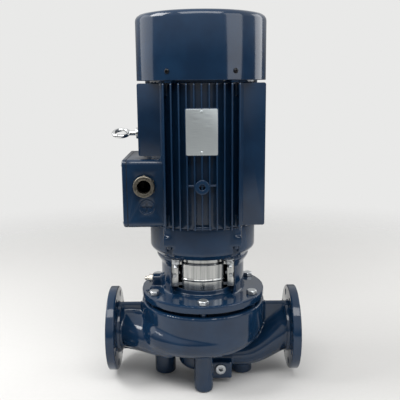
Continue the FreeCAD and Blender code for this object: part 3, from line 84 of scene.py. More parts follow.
def newMaterial(name, **shaderValues):
    material = bpy.data.materials.new(name)
    material.use_nodes = True
    tree = material.node_tree
    shader = tree.nodes["Principled BSDF"]
    for socket, value in shaderValues.items():
        shader.inputs[socket.replace("_", " ")].default_value = value
    place = addNode(tree, "ShaderNodeTexCoord").outputs["Object"]
    return material, tree, shader, place


# Noise whose blobs are about sizeMm across on the piece.
def noiseOn(tree, place, sizeMm, detail=2.0, stretch=(1, 1, 1)):
    scale = [share / (sizeMm * mm) for share in stretch]
    placed = addNode(tree, "ShaderNodeMapping", {"Scale": scale}, {"Vector": place})
    return addNode(tree, "ShaderNodeTexNoise", {"Scale": 1.0, "Detail": detail}, {"Vector": placed})


# What turns one span of values into another.
def ranges(span, out=(0.0, 1.0)):
    return {"From Min": span[0], "From Max": span[1], "To Min": out[0], "To Max": out[1]}


def finishMaterial(tree, shader, share, dark, light, roughness, normal):
    colour = addNode(tree, "ShaderNodeMix", {"data_type": "RGBA", 6: linearFrom(dark), 7: linearFrom(light)},
                     {0: share})
    tree.links.new(colour.outputs[2], shader.inputs["Base Color"])
    tree.links.new(roughness.outputs[0], shader.inputs["Roughness"])
    tree.links.new(normal.outputs[0], shader.inputs["Normal"])


# Materials

softSpan, hardSpan = (0.3, 0.7), (0.35, 0.65)    # noise values between which one look becomes the other

enamelLook = {
    "dark": "#0f2740", "light": "#132e49", "cloudMm": 60, "glossMm": 14, "gloss": (0.09, 0.13),
    "grainDepthMm": 0.3, "peelMm": 7, "peelDepthMm": 0.12,
}
grainLook = {
    "metal": {"colour": softSpan, "roughness": (0.8, 1.25), "depthMm": 0.05},
    "moulded": {"colour": hardSpan, "roughness": (0.85, 1.15), "depthMm": 0.08},
}


# Two-pack gloss enamel in navy: deep, wet highlights with a faint orange peel over the metal's grain.
def makeEnamel(name, grainMm, grainStrength, peelStrength):
    look = enamelLook
    material, tree, shader, place = newMaterial(name, IOR=1.5)
    clouds = addNode(tree, "ShaderNodeMapRange", ranges(hardSpan),
                     {"Value": noiseOn(tree, place, look["cloudMm"], detail=3.0)})
    gloss = addNode(tree, "ShaderNodeMapRange", ranges(softSpan, look["gloss"]),
                    {"Value": noiseOn(tree, place, look["glossMm"], detail=3.0)})
    deep, shallow = look["grainDepthMm"] * mm, look["peelDepthMm"] * mm
    grain = addNode(tree, "ShaderNodeBump", {"Distance": deep, "Strength": grainStrength},
                    {"Height": noiseOn(tree, place, grainMm)})
    peel = addNode(tree, "ShaderNodeBump", {"Distance": shallow, "Strength": peelStrength},
                   {"Height": noiseOn(tree, place, look["peelMm"], detail=1.0), "Normal": grain})
    finishMaterial(tree, shader, clouds, look["dark"], look["light"], gloss, peel)
    return material


# One grain gives a surface its mottled colour, its roughness and its relief.
def makeGrained(kind, name, dark, light, roughness, grainMm, stretch, strength, **shaderValues):
    look = grainLook[kind]
    material, tree, shader, place = newMaterial(name, **shaderValues)
    grain = noiseOn(tree, place, grainMm, 3.0, stretch)
    share = addNode(tree, "ShaderNodeMapRange", ranges(look["colour"]), {"Value": grain})
    rough = addNode(tree, "ShaderNodeMapRange",
                    ranges(softSpan, [roughness * part for part in look["roughness"]]), {"Value": grain})
    relief = addNode(tree, "ShaderNodeBump", {"Distance": look["depthMm"] * mm, "Strength": strength},
                     {"Height": grain})
    finishMaterial(tree, shader, share, dark, light, rough, relief)
    return material


# Bare or plated metal: its grain shows as fine lines where it is stretched, as mottling where it isn't; on
# the polished sheet the stretched bands are painted reflections.
def makeMetal(name, dark, light, roughness, grainMm, stretch=(1, 1, 1), strength=0.15):
    return makeGrained("metal", name, dark, light, roughness, grainMm, stretch, strength, Metallic=1.0)


# Moulded polymer, rubber or pressed fibre: low sheen with the mould's fine texture.
def makeMoulded(name, dark, light, roughness, grainMm, strength=0.2):
    return makeGrained("moulded", name, dark, light, roughness, grainMm, (1, 1, 1), strength, IOR=1.5)


# The grain, in millimetres, follows an enamel's name or the roughness. Sand, scratches and mould texture
# are finer on a real pump; here they are as coarse as they need to be to show.
castEnamel = makeEnamel("navyEnamelOnSandCastIron", 2.6, 0.07, 0.06)    # slight sand texture under it
dieCastEnamel = makeEnamel("navyEnamelOnDieCastAluminium", 3.0, 0.03, 0.05)    # smoother than iron
sheetEnamel = makeEnamel("navyEnamelOnSpunSteelSheet", 8.0, 0.01, 0.03)    # long clean reflections
polishedSheet = makeMetal("polishedStainlessSheet", "#86898a", "#c8c9c7", 0.16, 6.0, (1, 1, 0.03),
                          strength=0.05)    # upright streaks of painted reflection: light and dark bands in the colour
zincSteel = makeMetal("brightZincPlatedSteel", "#a6abb0", "#c3c6c8", 0.3, 1.6)    # soft grey with a cool cast
blackSteel = makeMetal("blackOxidisedSteel", "#1d1e20", "#303134", 0.34, 1.4)    # dull, nearly black
brightSteel = makeMetal("chromedDropForgedSteel", "#c9cbcc", "#dadbdb", 0.14, 6.0)    # mirrors the lamps
turnedStainless = makeMetal("turnedStainlessSteel", "#9b9d9e", "#bcbdbd", 0.24, 0.8, (0.2, 0.2, 1),
                            strength=0.1)    # fine rings round the axis
machinedIron = makeMetal("faceTurnedGreyIron", "#6d7073", "#8e9192", 0.38, 0.9, (1, 0.1, 0.1),
                         strength=0.2)    # bare, darker than steel
rawCastIron = makeMoulded("rawGreyCastIron", "#35373a", "#4c4e50", 0.7, 1.8, 0.5)    # rough and dark
nickelBrass = makeMetal("nickelPlatedBrass", "#d3cdc1", "#e6e2d9", 0.24, 2.0)    # warm and bright
glandMetal = makeMetal("satinNickelPlatedBrass", "#5f5b53", "#8d887d", 0.34, 2.5)    # duller, greyish beige
laminations = makeMetal("stackedElectricalSteel", "#4b4d52", "#77797c", 0.4, 0.6, (0.02, 0.02, 1),
                        strength=0.5)    # thin level lines
copperWire = makeMetal("varnishedCopperWinding", "#8c4a26", "#b8683a", 0.35, 1.4, (1, 1, 0.1),
                       strength=0.6)    # reddish strands side by side
groundSteel = makeMetal("groundBearingSteel", "#b5b8bb", "#cfd1d3", 0.12, 1.0)    # bright and even
blackRubber = makeMoulded("mouldedBlackRubber", "#0c0c0d", "#181819", 0.62, 0.8)    # deep, dull black
lappedCarbon = makeMoulded("lappedCarbon", "#17181a", "#222326", 0.4, 0.5)    # smooth, dark grey
lappedCeramic = makeMoulded("lappedSiliconCarbide", "#393c3f", "#4a4d50", 0.2, 0.5, 0.05)    # glassy grey
fibreGasket = makeMoulded("pressedFibreGasket", "#1f2421", "#2c322e", 0.8, 0.7, 0.5)    # dull greenish flecks
fanNylon = makeMoulded("glassFilledNylon", "#0e0f10", "#1b1c1e", 0.5, 1.0)    # black with a low sheen
thermoset = makeMoulded("thermosetMoulding", "#120d0b", "#1f1815", 0.32, 1.5, 0.1)    # smooth brownish black
satinPlate = makeMetal("satinAnodisedAluminium", "#adb4b8", "#c2c8c9", 0.5, 0.6, (0.02, 1, 1),
                       strength=0.1)    # pale, brushed lengthwise
print("materials made")

slotLooks = {
    "blue_enamel": castEnamel, "stainless_sheet": polishedSheet, "zinc_steel": zincSteel,
    "stainless": turnedStainless, "cast_grey": rawCastIron, "nickel_brass": nickelBrass,
    "gunmetal": glandMetal, "lamination": laminations, "copper": copperWire,
    "bearing_steel": groundSteel, "black_rubber": blackRubber, "carbon": lappedCarbon,
    "ceramic": lappedCeramic, "gasket": fibreGasket, "fan_plastic": fanNylon,
    "moulded_black": thermoset, "plate": satinPlate,
}


# Mesh helpers

sharpAbove = math.radians(34)
nodeWeld, turnWeld = 0.002 * mm, 0.001 * mm


# A new object with this data, in the scene.
def linked(name, data):
    item = bpy.data.objects.new(name, data)
    bpy.context.scene.collection.objects.link(item)
    return item


def addPiece(name, mesh, material, body, replaced=()):
    piece = linked(name, mesh)
    mesh.materials.clear()
    mesh.materials.append(material)
    mesh.shade_smooth()
    mesh.set_sharp_from_angle(angle=sharpAbove)
    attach(piece, body)
    if replaced:
        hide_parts(*replaced)
    return piece


def stored(bm, name):
    mesh = bpy.data.meshes.new(name)
    bm.to_mesh(mesh)
    bm.free()
    return mesh


def meshFrom(bm, name):
    bmesh.ops.recalc_face_normals(bm, faces=bm.faces)
    return stored(bm, name)


# The node's triangles as one closed mesh, its doubled corners merged.
def copyOfNode(node):
    bm = bmesh.new()
    bm.from_mesh(frame["nodes"][node].data)
    bmesh.ops.remove_doubles(bm, verts=bm.verts, dist=nodeWeld)
    return bm


# What an object's modifiers make of it, as a plain mesh; the object itself goes.
def plainMesh(holder):
    result = bpy.data.meshes.new_from_object(holder.evaluated_get(bpy.context.evaluated_depsgraph_get()))
    holder.modifiers.clear()
    bpy.data.objects.remove(holder)
    return result


# The mesh after a list of (modifier type, settings).
def withModifiers(mesh, steps):
    holder = linked("holder", mesh)
    for kind, settings in steps:
        modifier = holder.modifiers.new(kind, kind)
        for name, value in settings.items():
            setattr(modifier, name, value)
    return plainMesh(holder)


# Edges that turn by more than an angle get a small round.
def bevelled(mesh, width, angle):
    return withModifiers(mesh, [("BEVEL", {"width": width, "segments": 2, "limit_method": "ANGLE",
                                           "angle_limit": math.radians(angle)})])


# A copy of the node with its sharp edges broken by a small round, as a deburred part has.
def edgeRounded(node, width):
    bm = copyOfNode(node)
    flatWithin = math.radians(0.6)
    bmesh.ops.dissolve_limit(bm, angle_limit=flatWithin, verts=bm.verts, edges=bm.edges)
    return bevelled(meshFrom(bm, node), width, angle=40)


# Remeshes a shape evenly and softens it, so that corners get the fillets of a casting.
def castSkin(mesh, voxel, passes):
    return withModifiers(mesh, [
        ("REMESH", {"mode": "VOXEL", "voxel_size": voxel}),
        ("SMOOTH", {"factor": 0.5, "iterations": passes}),
    ])


# Points of a round at a profile's corner.
def arcCorner(before, corner, after, radius, steps=4):
    toBefore = (before - corner).normalized()
    toAfter = (after - corner).normalized()
    half = toBefore.angle(toAfter) / 2
    back = min(radius / math.tan(half), 0.45 * min((before - corner).length, (after - corner).length))
    real = back * math.tan(half)
    centre = corner + (toBefore + toAfter).normalized() * (real / math.sin(half))
    start = corner + toBefore * back - centre
    end = corner + toAfter * back - centre
    sweep = start.angle_signed(end)
    points = []
    for i in range(steps + 1):
        points.append(centre + Matrix.Rotation(-sweep * i / steps, 2) @ start)
    return points


# The profile of a ring, or of a rod where inner is 0; its rounds go from the low inner corner onwards.
def section(inner, outer, low, high, rounds=(0, 0, 0, 0)):
    corners = (inner, low), (outer, low), (outer, high), (inner, high)
    return [(*corner, rounding) for corner, rounding in zip(corners, rounds)]


# A solid of revolution; the profile holds (radius, height, round) in millimetres.
def turned(profile, name, segments=128, axis="Z", place=(0, 0, 0)):
    corners = [Vector((r, z)) * mm for r, z, _ in profile]
    outline = []
    for i, (_, _, rounding) in enumerate(profile):
        if rounding:
            outline += arcCorner(corners[i - 1], corners[i], corners[(i + 1) % len(corners)], rounding * mm)
        else:
            outline.append(corners[i])
    bm = bmesh.new()
    rings = []
    for k in range(segments):
        c, s = math.cos(tau * k / segments), math.sin(tau * k / segments)
        rings.append([bm.verts.new((p.x * c, p.x * s, p.y)) for p in outline])
    for k in range(segments):
        near, far = rings[k], rings[(k + 1) % segments]
        for i in range(len(outline)):
            j = (i + 1) % len(outline)
            bm.faces.new((near[i], far[i], far[j], near[j]))
    bmesh.ops.remove_doubles(bm, verts=bm.verts, dist=turnWeld)
    quarter = math.pi / 2
    turnTo = {"Z": Matrix(), "X": Matrix.Rotation(quarter, 4, "Y"), "-X": Matrix.Rotation(-quarter, 4, "Y"),
              "-Y": Matrix.Rotation(quarter, 4, "X")}[axis]
    bm.transform(Matrix.Translation(place) @ turnTo)
    return meshFrom(bm, name)


def onCircle(diameter, degrees):
    return diameter / 2 * math.cos(math.radians(degrees)), diameter / 2 * math.sin(math.radians(degrees))


def boxMesh(low, high, name, rounding=0.0):
    bm = bmesh.new()
    bmesh.ops.create_cube(bm, size=1.0)
    size = Vector(high) - Vector(low)
    bm.transform(Matrix.Translation((Vector(low) + Vector(high)) / 2) @ Matrix.Diagonal((*size, 1)))
    if rounding:
        bmesh.ops.bevel(bm, geom=bm.edges[:], offset=rounding, segments=3, profile=0.5, affect="EDGES")
    return meshFrom(bm, name)


def joined(meshes, name):
    bm = bmesh.new()
    for mesh in meshes:
        bm.from_mesh(mesh)
    return stored(bm, name)


# A hidden object, to be repeated by a tree or to cut with.
def patternOf(mesh, name):
    pattern = linked(name, mesh)
    pattern.hide_render = True
    return pattern


def combined(first, second, operation):
    tool = patternOf(second, "tool")
    result = withModifiers(first, [("BOOLEAN", {"object": tool, "operation": operation, "solver": "EXACT"})])
    bpy.data.objects.remove(tool)
    return result


# Inner pieces keep their modelled shape and get their finish

def finishInnerPieces():
    for entry in frame["record"]["subparts"]:
        slots = frame["nodes"][entry["node"]].data.materials
        slots.clear()
        slots.append(slotLooks[entry["material_slot"]])


finishInnerPieces()
print("inner pieces finished")


# Pump casing: one cast body, two turned flanges and their sealing faces; sizes in millimetres

casingLook = {
    "voxel": 3.3 * mm, "softening": 5,    # this voxel keeps the body under 200,000 triangles
    "faceToFace": 500.0, "portHeight": 125.0, "bore": 100.0, "hub": 128.0, "backFillet": 9.0,
    "bodyOverlap": 2.0, "flangeDiameter": 220.0, "flangeThickness": 22.0, "roundness": 160,
    "flangeRounds": {"back": 4.0, "front": 2.5, "raised": 0.8, "bore": 1.0},
    "skirt": {"wall": 4.0, "taper": 1.0, "reach": 9.0},
    "raisedFace": 158.0, "raisedFaceHeight": 3.0, "facingDepth": 0.6, "facingPitch": 1.45,
    "facingMargin": 0.8, "facingRoot": 0.4, "grooveWidth": 0.4, "grooveDepth": 0.6,
    "boltCircle": 180.0, "boltHole": 18.0, "boltCount": 8, "drillBack": 20.0, "drillFront": 5.0,
    "ribHalf": 6.0,
    "ribFoot": ((148.0, 118.5), (148.0, 160.0), (186.0, 160.0), (186.0, 151.5)),
    "shoulder": {"ends": (((-196.0, 0.0, 125.0), 52.0), ((-81.0, -88.5, 120.0), 40.0)),
                 "bore": 45.0, "boreEnds": (120.0, 260.0), "chamber": 140.0, "chamberEnds": (60.0, 190.0)},
    "swell": {"from": 166.0, "peak": 214.0, "to": 267.0, "out": 8.0, "innerWall": 142.0, "outerWall": 156.0,
              "crease": 160.0, "creaseRise": 16.0, "shoulder": 17.0, "bottom": 70.0, "bottomEnd": 112.0},
}


def smoothStep(low, high, value):
    share = min(max((value - low) / (high - low), 0.0), 1.0)
    return share * share * (3 - 2 * share)


# Closes the space between two outlines of equally many points in millimetres.
def fillPrism(bm, sides):
    near, far = [[bm.verts.new(Vector(point) * mm) for point in side] for side in sides]
    for ring in (near, far):
        bm.faces.new(ring)
    for i in range(len(near)):
        j = (i + 1) % len(near)
        bm.faces.new((near[i], near[j], far[j], far[i]))


# The rib's foot on the suction nozzle, as a prism between (x, z) corners.
def ribFoot():
    look = casingLook
    bm = bmesh.new()
    fillPrism(bm, [[(x, way * look["ribHalf"], z) for x, z in look["ribFoot"]] for way in (-1, 1)])
    return meshFrom(bm, "ribFoot")


# The scroll's full end, running out into the discharge nozzle outside the water's way.
def scrollShoulder():
    look = casingLook["shoulder"]
    bm = bmesh.new()
    for centre, radius in look["ends"]:
        bmesh.ops.create_icosphere(bm, subdivisions=4, radius=radius * mm,
                                   matrix=Matrix.Translation(Vector(centre) * mm))
    points = [vertex.co.copy() for vertex in bm.verts]
    bm.free()
    hull = bmesh.new()
    for point in points:
        hull.verts.new(point)
    bmesh.ops.convex_hull(hull, input=hull.verts[:])
    bmesh.ops.delete(hull, geom=[vertex for vertex in hull.verts if not vertex.link_faces], context="VERTS")
    mesh = meshFrom(hull, "scrollShoulder")
    for name, axis, height in (("bore", "-X", casingLook["portHeight"]), ("chamber", "Z", 0.0)):
        radius, (low, high) = look[name], look[name + "Ends"]
        core = turned(section(0, radius, low, high), name + "Core", 96, axis, (0, 0, height * mm))
        mesh = combined(mesh, core, "DIFFERENCE")
    return mesh


# The scroll stands out of the barrel's wall below its crease, most where it nears the discharge.
def swellScroll(mesh):
    swell = casingLook["swell"]
    for vertex in mesh.vertices:
        x, y, z = vertex.co / mm
        away = math.hypot(x, y)
        angle = math.degrees(math.atan2(y, x)) % 360
        along = smoothStep(swell["from"], swell["peak"], angle)
        along *= 1 - smoothStep(swell["peak"], swell["to"], angle)
        crease = swell["crease"] + swell["creaseRise"] * along
        down = 1 - smoothStep(crease - swell["shoulder"], crease, z)
        down *= smoothStep(swell["bottom"], swell["bottomEnd"], z)
        shift = swell["out"] * along * down * smoothStep(swell["innerWall"], swell["outerWall"], away)
        vertex.co.x += x / away * shift * mm
        vertex.co.y += y / away * shift * mm


def makeCasing():
    look = casingLook
    back = look["faceToFace"] / 2 - look["raisedFaceHeight"] - look["flangeThickness"]
    cutX = (back + look["bodyOverlap"]) * mm
    bm = copyOfNode("pump_casing")
    for side in (1, -1):
        geometry = bm.verts[:] + bm.edges[:] + bm.faces[:]
        cut = bmesh.ops.bisect_plane(bm, geom=geometry, plane_co=(side * cutX, 0, 0),
                                     plane_no=(side, 0, 0), clear_outer=True)
        rim = [item for item in cut["geom_cut"] if isinstance(item, bmesh.types.BMEdge)]
        bmesh.ops.triangle_fill(bm, edges=rim, use_beauty=True)
    rough = joined([meshFrom(bm, "castBodyRough"), ribFoot(), scrollShoulder()], "castBodyRough")
    body = castSkin(rough, look["voxel"], look["softening"])
    swellScroll(body)
    addPiece("casingBody", body, castEnamel, "stator", ["pump_casing"])


def makeFlange(name, axis):
    look = casingLook
    face = look["faceToFace"] / 2 - look["facingDepth"]
    rim = look["faceToFace"] / 2 - look["raisedFaceHeight"]
    back = rim - look["flangeThickness"]
    bore, hub, outer = look["bore"] / 2, look["hub"] / 2, look["flangeDiameter"] / 2
    rounds, raised, hole = look["flangeRounds"], look["raisedFace"] / 2, look["boltHole"] / 2
    wall, taper, reach = look["skirt"]["wall"], look["skirt"]["taper"], look["skirt"]["reach"]
    mesh = turned([
        (bore, back + taper, 0), (hub - wall, back + taper, 0), (hub - wall + taper, back - reach, 0),
        (hub, back - reach + taper, 0), (hub + taper, back, look["backFillet"]),
        (outer, back, rounds["back"]), (outer, rim, rounds["front"]), (raised, rim, 0),
        (raised, face, rounds["raised"]), (bore, face, rounds["bore"]),
    ], name, look["roundness"], axis, (0, 0, look["portHeight"] * mm))
    low, high = back - look["drillBack"], face + look["drillFront"]
    drills = []
    for i in range(look["boltCount"]):
        y, z = onCircle(look["boltCircle"], 360 * (i + 0.5) / look["boltCount"])
        drills.append(turned(section(0, hole, low, high), "drill", 32, axis,
                             (0, y * mm, (look["portHeight"] + z) * mm)))
    addPiece(name, combined(mesh, joined(drills, "drills"), "DIFFERENCE"), castEnamel, "stator", ())


# The bare sealing face of a flange, with the concentric grooves that the lathe leaves for the gasket.
def makeFacing(name, axis):
    look = casingLook
    face, deep, pitch = look["faceToFace"] / 2, look["facingDepth"], look["facingPitch"]
    low, high = look["bore"] / 2 + look["facingMargin"], look["raisedFace"] / 2 - look["facingMargin"]
    root = face - deep - look["facingRoot"]
    turns = int((high - low) / pitch)
    outline = [(low, root, 0), (high, root, 0)]
    for i in range(turns):
        crest = high - (high - low) * i / turns
        groove = crest - look["grooveWidth"] * pitch
        outline += [(crest, face, 0), (groove, face - look["grooveDepth"] * deep, 0)]
    outline.append((low, face, 0))
    mesh = turned(outline, name, look["roundness"], axis, (0, 0, look["portHeight"] * mm))
    addPiece(name, mesh, machinedIron, "stator", ())


makeCasing()
for end, axis in (("suction", "X"), ("discharge", "-X")):
    makeFlange(end + "Flange", axis)
    makeFacing(end + "Facing", axis)
print("casing made")


# Lantern and motor shields: the casting's own corners

skinLook = {
    "voxel": 2.35 * mm, "softening": 5, "outside": 125.0, "over": 1.0, "roundness": 96,
    "cuts": {
        "sill": {"half": 76.0, "inner": 86.5, "low": 243.55, "high": 258.0},      # down to the deck
        "lintel": {"half": 77.5, "inner": 83.0, "low": 300.0, "high": 341.0},     # leaves a thin flange
        "scallop": {"half": 50.0, "inner": 106.0, "low": 340.0, "high": 346.0},   # between the studs
    },
}


# One of the cuts that open the windows at the front and the back: part of a ring.
def windowCut(name):
    cut, outside = skinLook["cuts"][name], skinLook["outside"]
    low, high = cut["low"], cut["high"]
    ring = turned(section(cut["inner"], outside, low, high), name + "Ring", skinLook["roundness"])
    across = boxMesh((-cut["half"] * mm, -outside * mm, (low - skinLook["over"]) * mm),
                     (cut["half"] * mm, outside * mm, (high + skinLook["over"]) * mm), name + "Across")
    return combined(ring, across, "INTERSECT")


def makeCastings():
    look = skinLook
    lantern = meshFrom(copyOfNode("lantern"), "lanternRough")
    for name in look["cuts"]:
        lantern = combined(lantern, windowCut(name), "DIFFERENCE")
    shield = meshFrom(copyOfNode("drive_end_shield"), "shieldRough")
    for node, name, rough in (("lantern", "lanternBody", lantern),
                              ("drive_end_shield", "driveEndShield", shield)):
        addPiece(name, castSkin(rough, look["voxel"], look["softening"]), castEnamel, "stator", [node])


makeCastings()
print("lantern and shield made")


# Geometry node trees

def startTree(name, inputs):
    tree = bpy.data.node_groups.new(name, "GeometryNodeTree")
    tree.interface.new_socket("Geometry", in_out="INPUT", socket_type="NodeSocketGeometry")
    for label, (kind, value) in inputs.items():
        socket = tree.interface.new_socket(label, in_out="INPUT", socket_type="NodeSocket" + kind)
        if value is not None:
            socket.default_value = value
    tree.interface.new_socket("Geometry", in_out="OUTPUT", socket_type="NodeSocketGeometry")
    return tree, tree.nodes.new("NodeGroupInput").outputs


def endTree(tree, geometry, material):
    real = addNode(tree, "GeometryNodeRealizeInstances", {}, {"Geometry": geometry})
    painted = addNode(tree, "GeometryNodeSetMaterial", {}, {"Geometry": real, "Material": material})
    addNode(tree, "NodeGroupOutput", {}, {"Geometry": painted})


# The tree's result on a base mesh, as a plain mesh.
def grown(tree, values, base=None):
    holder = linked("holder", base or bpy.data.meshes.new("nothing"))
    modifier = holder.modifiers.new("growth", "NODES")
    modifier.node_group = tree
    for item in tree.interface.items_tree:
        if item.in_out == "INPUT" and item.name in values:
            modifier[item.identifier] = values[item.name]
    return plainMesh(holder)


# Fasteners: one pattern each, set on marked points, every one turned its own way

def makeFastenerTree():
    tree, given = startTree("fastenersOnPoints", {
        "Fastener": ("Object", None), "Turn Seed": ("Int", 7), "Material": ("Material", None),
    })
    aim = addNode(tree, "GeometryNodeInputNamedAttribute", {"data_type": "FLOAT_VECTOR", "Name": "aim"})
    upright = addNode(tree, "FunctionNodeAlignRotationToVector", {"axis": "Z"},
                      {"Vector": aim.outputs["Attribute"]})
    turn = addNode(tree, "FunctionNodeRandomValue", {"data_type": "FLOAT", 3: tau},
                   {"Seed": given["Turn Seed"]})
    spin = addNode(tree, "ShaderNodeCombineXYZ", {}, {"Z": turn.outputs[1]})
    local = addNode(tree, "FunctionNodeEulerToRotation", {}, {"Euler": spin})
    spun = addNode(tree, "FunctionNodeRotateRotation", {"rotation_space": "LOCAL"},
                   {"Rotation": upright, "Rotate By": local})
    shape = addNode(tree, "GeometryNodeObjectInfo", {"As Instance": True}, {"Object": given["Fastener"]})
    placed = addNode(tree, "GeometryNodeInstanceOnPoints", {},
                     {"Points": given["Geometry"], "Instance": shape.outputs["Geometry"], "Rotation": spun})
    endTree(tree, placed, given["Material"])
    return tree


fastenerTree = makeFastenerTree()


# Loose points in millimetres, each with the direction its fastener's head looks.
def markedPoints(places):
    mesh = bpy.data.meshes.new("places")
    mesh.from_pydata([Vector(place) * mm for place, _ in places], [], [])
    aims = mesh.attributes.new("aim", "FLOAT_VECTOR", "POINT")
    for i, (_, direction) in enumerate(places):
        aims.data[i].vector = direction
    return mesh


def setFasteners(name, pattern, places, material, node, seed):
    mesh = grown(fastenerTree, {"Fastener": pattern, "Turn Seed": seed, "Material": material},
                 markedPoints(places))
    return addPiece(name, mesh, material, "stator", [node])


def hexPrism(across, low, high):
    bm = bmesh.new()
    bmesh.ops.create_cone(bm, cap_ends=True, segments=6, radius1=across / math.sqrt(3) * mm,
                          radius2=across / math.sqrt(3) * mm, depth=(high - low) * mm)
    bm.transform(Matrix.Translation((0, 0, (low + high) / 2 * mm)))
    return meshFrom(bm, "prism")


threadLook = {
    # shares of the thread's diameter
    "across": 1.5, "seat": 0.74, "corner": 0.98, "edge": 0.03, "head": 0.65, "headRise": 0.3, "headFall": 0.4,
    "headTop": 0.7, "nut": 0.85, "chamfer": 0.05, "core": 0.44, "tip": 0.38, "washerHole": 0.52,
    "capRadius": 0.8, "capRound": 0.08, "capAcross": 0.8, "capFloor": 0.5,
    # shares of a domed head's height, but for the crown, which is a share of the diameter
    "rim": 0.35, "rimRound": 0.3, "crown": 0.55, "crownRound": 0.6, "domeFloor": 0.45,
    # millimetres and degrees
    "pitch": 1.75, "crestAt": 0.3, "coreAt": 1.1, "tipLength": 1.5, "nutCone": 1.4, "topRound": 0.3,
    "washerRounds": (0, 0.4, 0.6, 0), "tipStep": 0.1, "overlap": 0.2, "clear": 1.0, "edgeAngle": 25,
}


# A hexagon between two heights, its corners turned down at both ends.
def hexagonShape(d, low, high, rise, fall, top):
    look = threadLook
    wide = look["corner"] * d
    cone = turned([(0, low, 0), (look["seat"] * d, low, 0), (wide, low + rise, 0), (wide, high - fall, 0),
                   (top * d, high, look["topRound"]), (0, high, 0)], "cone", segments=48)
    shape = combined(hexPrism(look["across"] * d, low, high), cone, "INTERSECT")
    return bevelled(shape, look["edge"] * d * mm, look["edgeAngle"])


def shankMesh(d, end, segments):
    top = threadLook["overlap"]
    return turned([(0, end[0][1], 0), *end, (0.5 * d, top, 0), (0, top, 0)], "shank", segments)


# A hexagon bolt: chamfered corners and a chamfer at its shank's end.
def hexBoltPattern(name, d, grip):
    look = threadLook
    head, chamfer = look["head"] * d, look["chamfer"] * d
    shape = hexagonShape(d, 0, head, look["headRise"] * head, look["headFall"] * head, look["headTop"])
    shank = shankMesh(d, [(0.5 * d - chamfer, -grip, 0), (0.5 * d, chamfer - grip, 0)], segments=32)
    return patternOf(joined([shape, shank], name), name)


# A stud with a nut and a washer; its threaded end stands out of the nut.
def studPattern(name, d, grip, washer, reach):
    look = threadLook
    nutTop, tipAt = washer + look["nut"] * d, reach - look["tipLength"]
    nut = hexagonShape(d, washer, nutTop, look["nutCone"], look["nutCone"], look["seat"])
    outline = [(0, -grip, 0), (0.5 * d, -grip, 0), (0.5 * d, nutTop - look["clear"], 0)]
    for i in range(int((tipAt - nutTop) / look["pitch"])):
        z = nutTop + look["pitch"] * i
        outline += [(0.5 * d, z + look["crestAt"], 0), (look["core"] * d, z + look["coreAt"], 0)]
    outline += [(0.5 * d - look["tipStep"], tipAt, 0), (look["tip"] * d, reach, 0), (0, reach, 0)]
    ring = turned(section(look["washerHole"] * d, d, 0, washer, look["washerRounds"]), "washer", segments=48)
    return patternOf(joined([nut, turned(outline, "stud", segments=32), ring], name), name)


# A screw with a turned head and a hexagon socket.
def socketScrew(name, d, grip, outline, across, floor, top):
    head = turned([(0, 0, 0), *outline, (0, top, 0)], "head", segments=40)
    head = combined(head, hexPrism(across, floor, top + threadLook["clear"]), "DIFFERENCE")
    return patternOf(joined([head, shankMesh(d, [(0.5 * d, -grip, 0)], segments=24)], name), name)


def capScrewPattern(name, d, grip):
    look = threadLook
    radius = look["capRadius"] * d
    return socketScrew(name, d, grip, [(radius, 0, 0), (radius, d, look["capRound"] * d)],
                       look["capAcross"] * d, look["capFloor"] * d, d)


def domeScrewPattern(name, d, grip, height, across):
    look = threadLook
    outline = [(d, 0, 0), (d, look["rim"] * height, look["rimRound"] * height),
               (look["crown"] * d, height, look["crownRound"] * height)]
    return socketScrew(name, d, grip, outline, across, look["domeFloor"] * height, height)


boltLook = {
    "head": {"thread": 16, "grip": 52.5, "circle": 284.0, "count": 6, "first": -90, "deck": 243.5,
             "bare": 1.0, "seed": 3},
    "motor": {"thread": 12, "grip": 26, "circle": 215.0, "corner": 52.0, "under": 341.0, "washer": 2.4,
              "reach": 23.0, "seed": 5},
    "guard": {"thread": 6, "grip": 9, "x": 71.0, "y": 60.0, "height": 289.75, "seed": 8},
    "shield": {"thread": 8, "circle": 262.0, "x": 80.0, "padUnder": 379.5, "longGrip": 68, "fanTop": 778.0,
               "shortGrip": 30, "seeds": (2, 4)},
    "cover": {"thread": 6, "grip": 12, "dome": 3.5, "socket": 3.6, "radius": 158.5, "angle": 29.0,
              "height": 793.0, "seed": 6},
    "lid": {"thread": 6, "grip": 20, "x": -187.0, "y": (-89.0, 87.0), "z": (437.0, 577.0), "seed": 9},
    "rivet": {"face": -156.0, "middle": 658.0, "reach": 46.0, "seed": 1,
              "outline": [(0, -0.2, 0), (3.4, -0.2, 0), (3.2, 0.6, 0.3), (2.0, 1.7, 0.8), (0, 2.0, 0)]},
}


# Where the four long bolts of the motor's shields stand.
def shieldCorners():
    look = boltLook["shield"]
    y = math.sqrt((look["circle"] / 2) ** 2 - look["x"] ** 2)
    return [(sx * look["x"], sy * y) for sx in (1, -1) for sy in (1, -1)]


# Enamel on what lies below a height: painted shade, dark navy where a screwed piece crosses the shaded gap
# under the deck.
def enamelAsPaintedShadeBelow(piece, height, material):
    piece.data.materials.append(material)
    for face in piece.data.polygons:
        if face.center.z < height * mm:
            face.material_index = 1


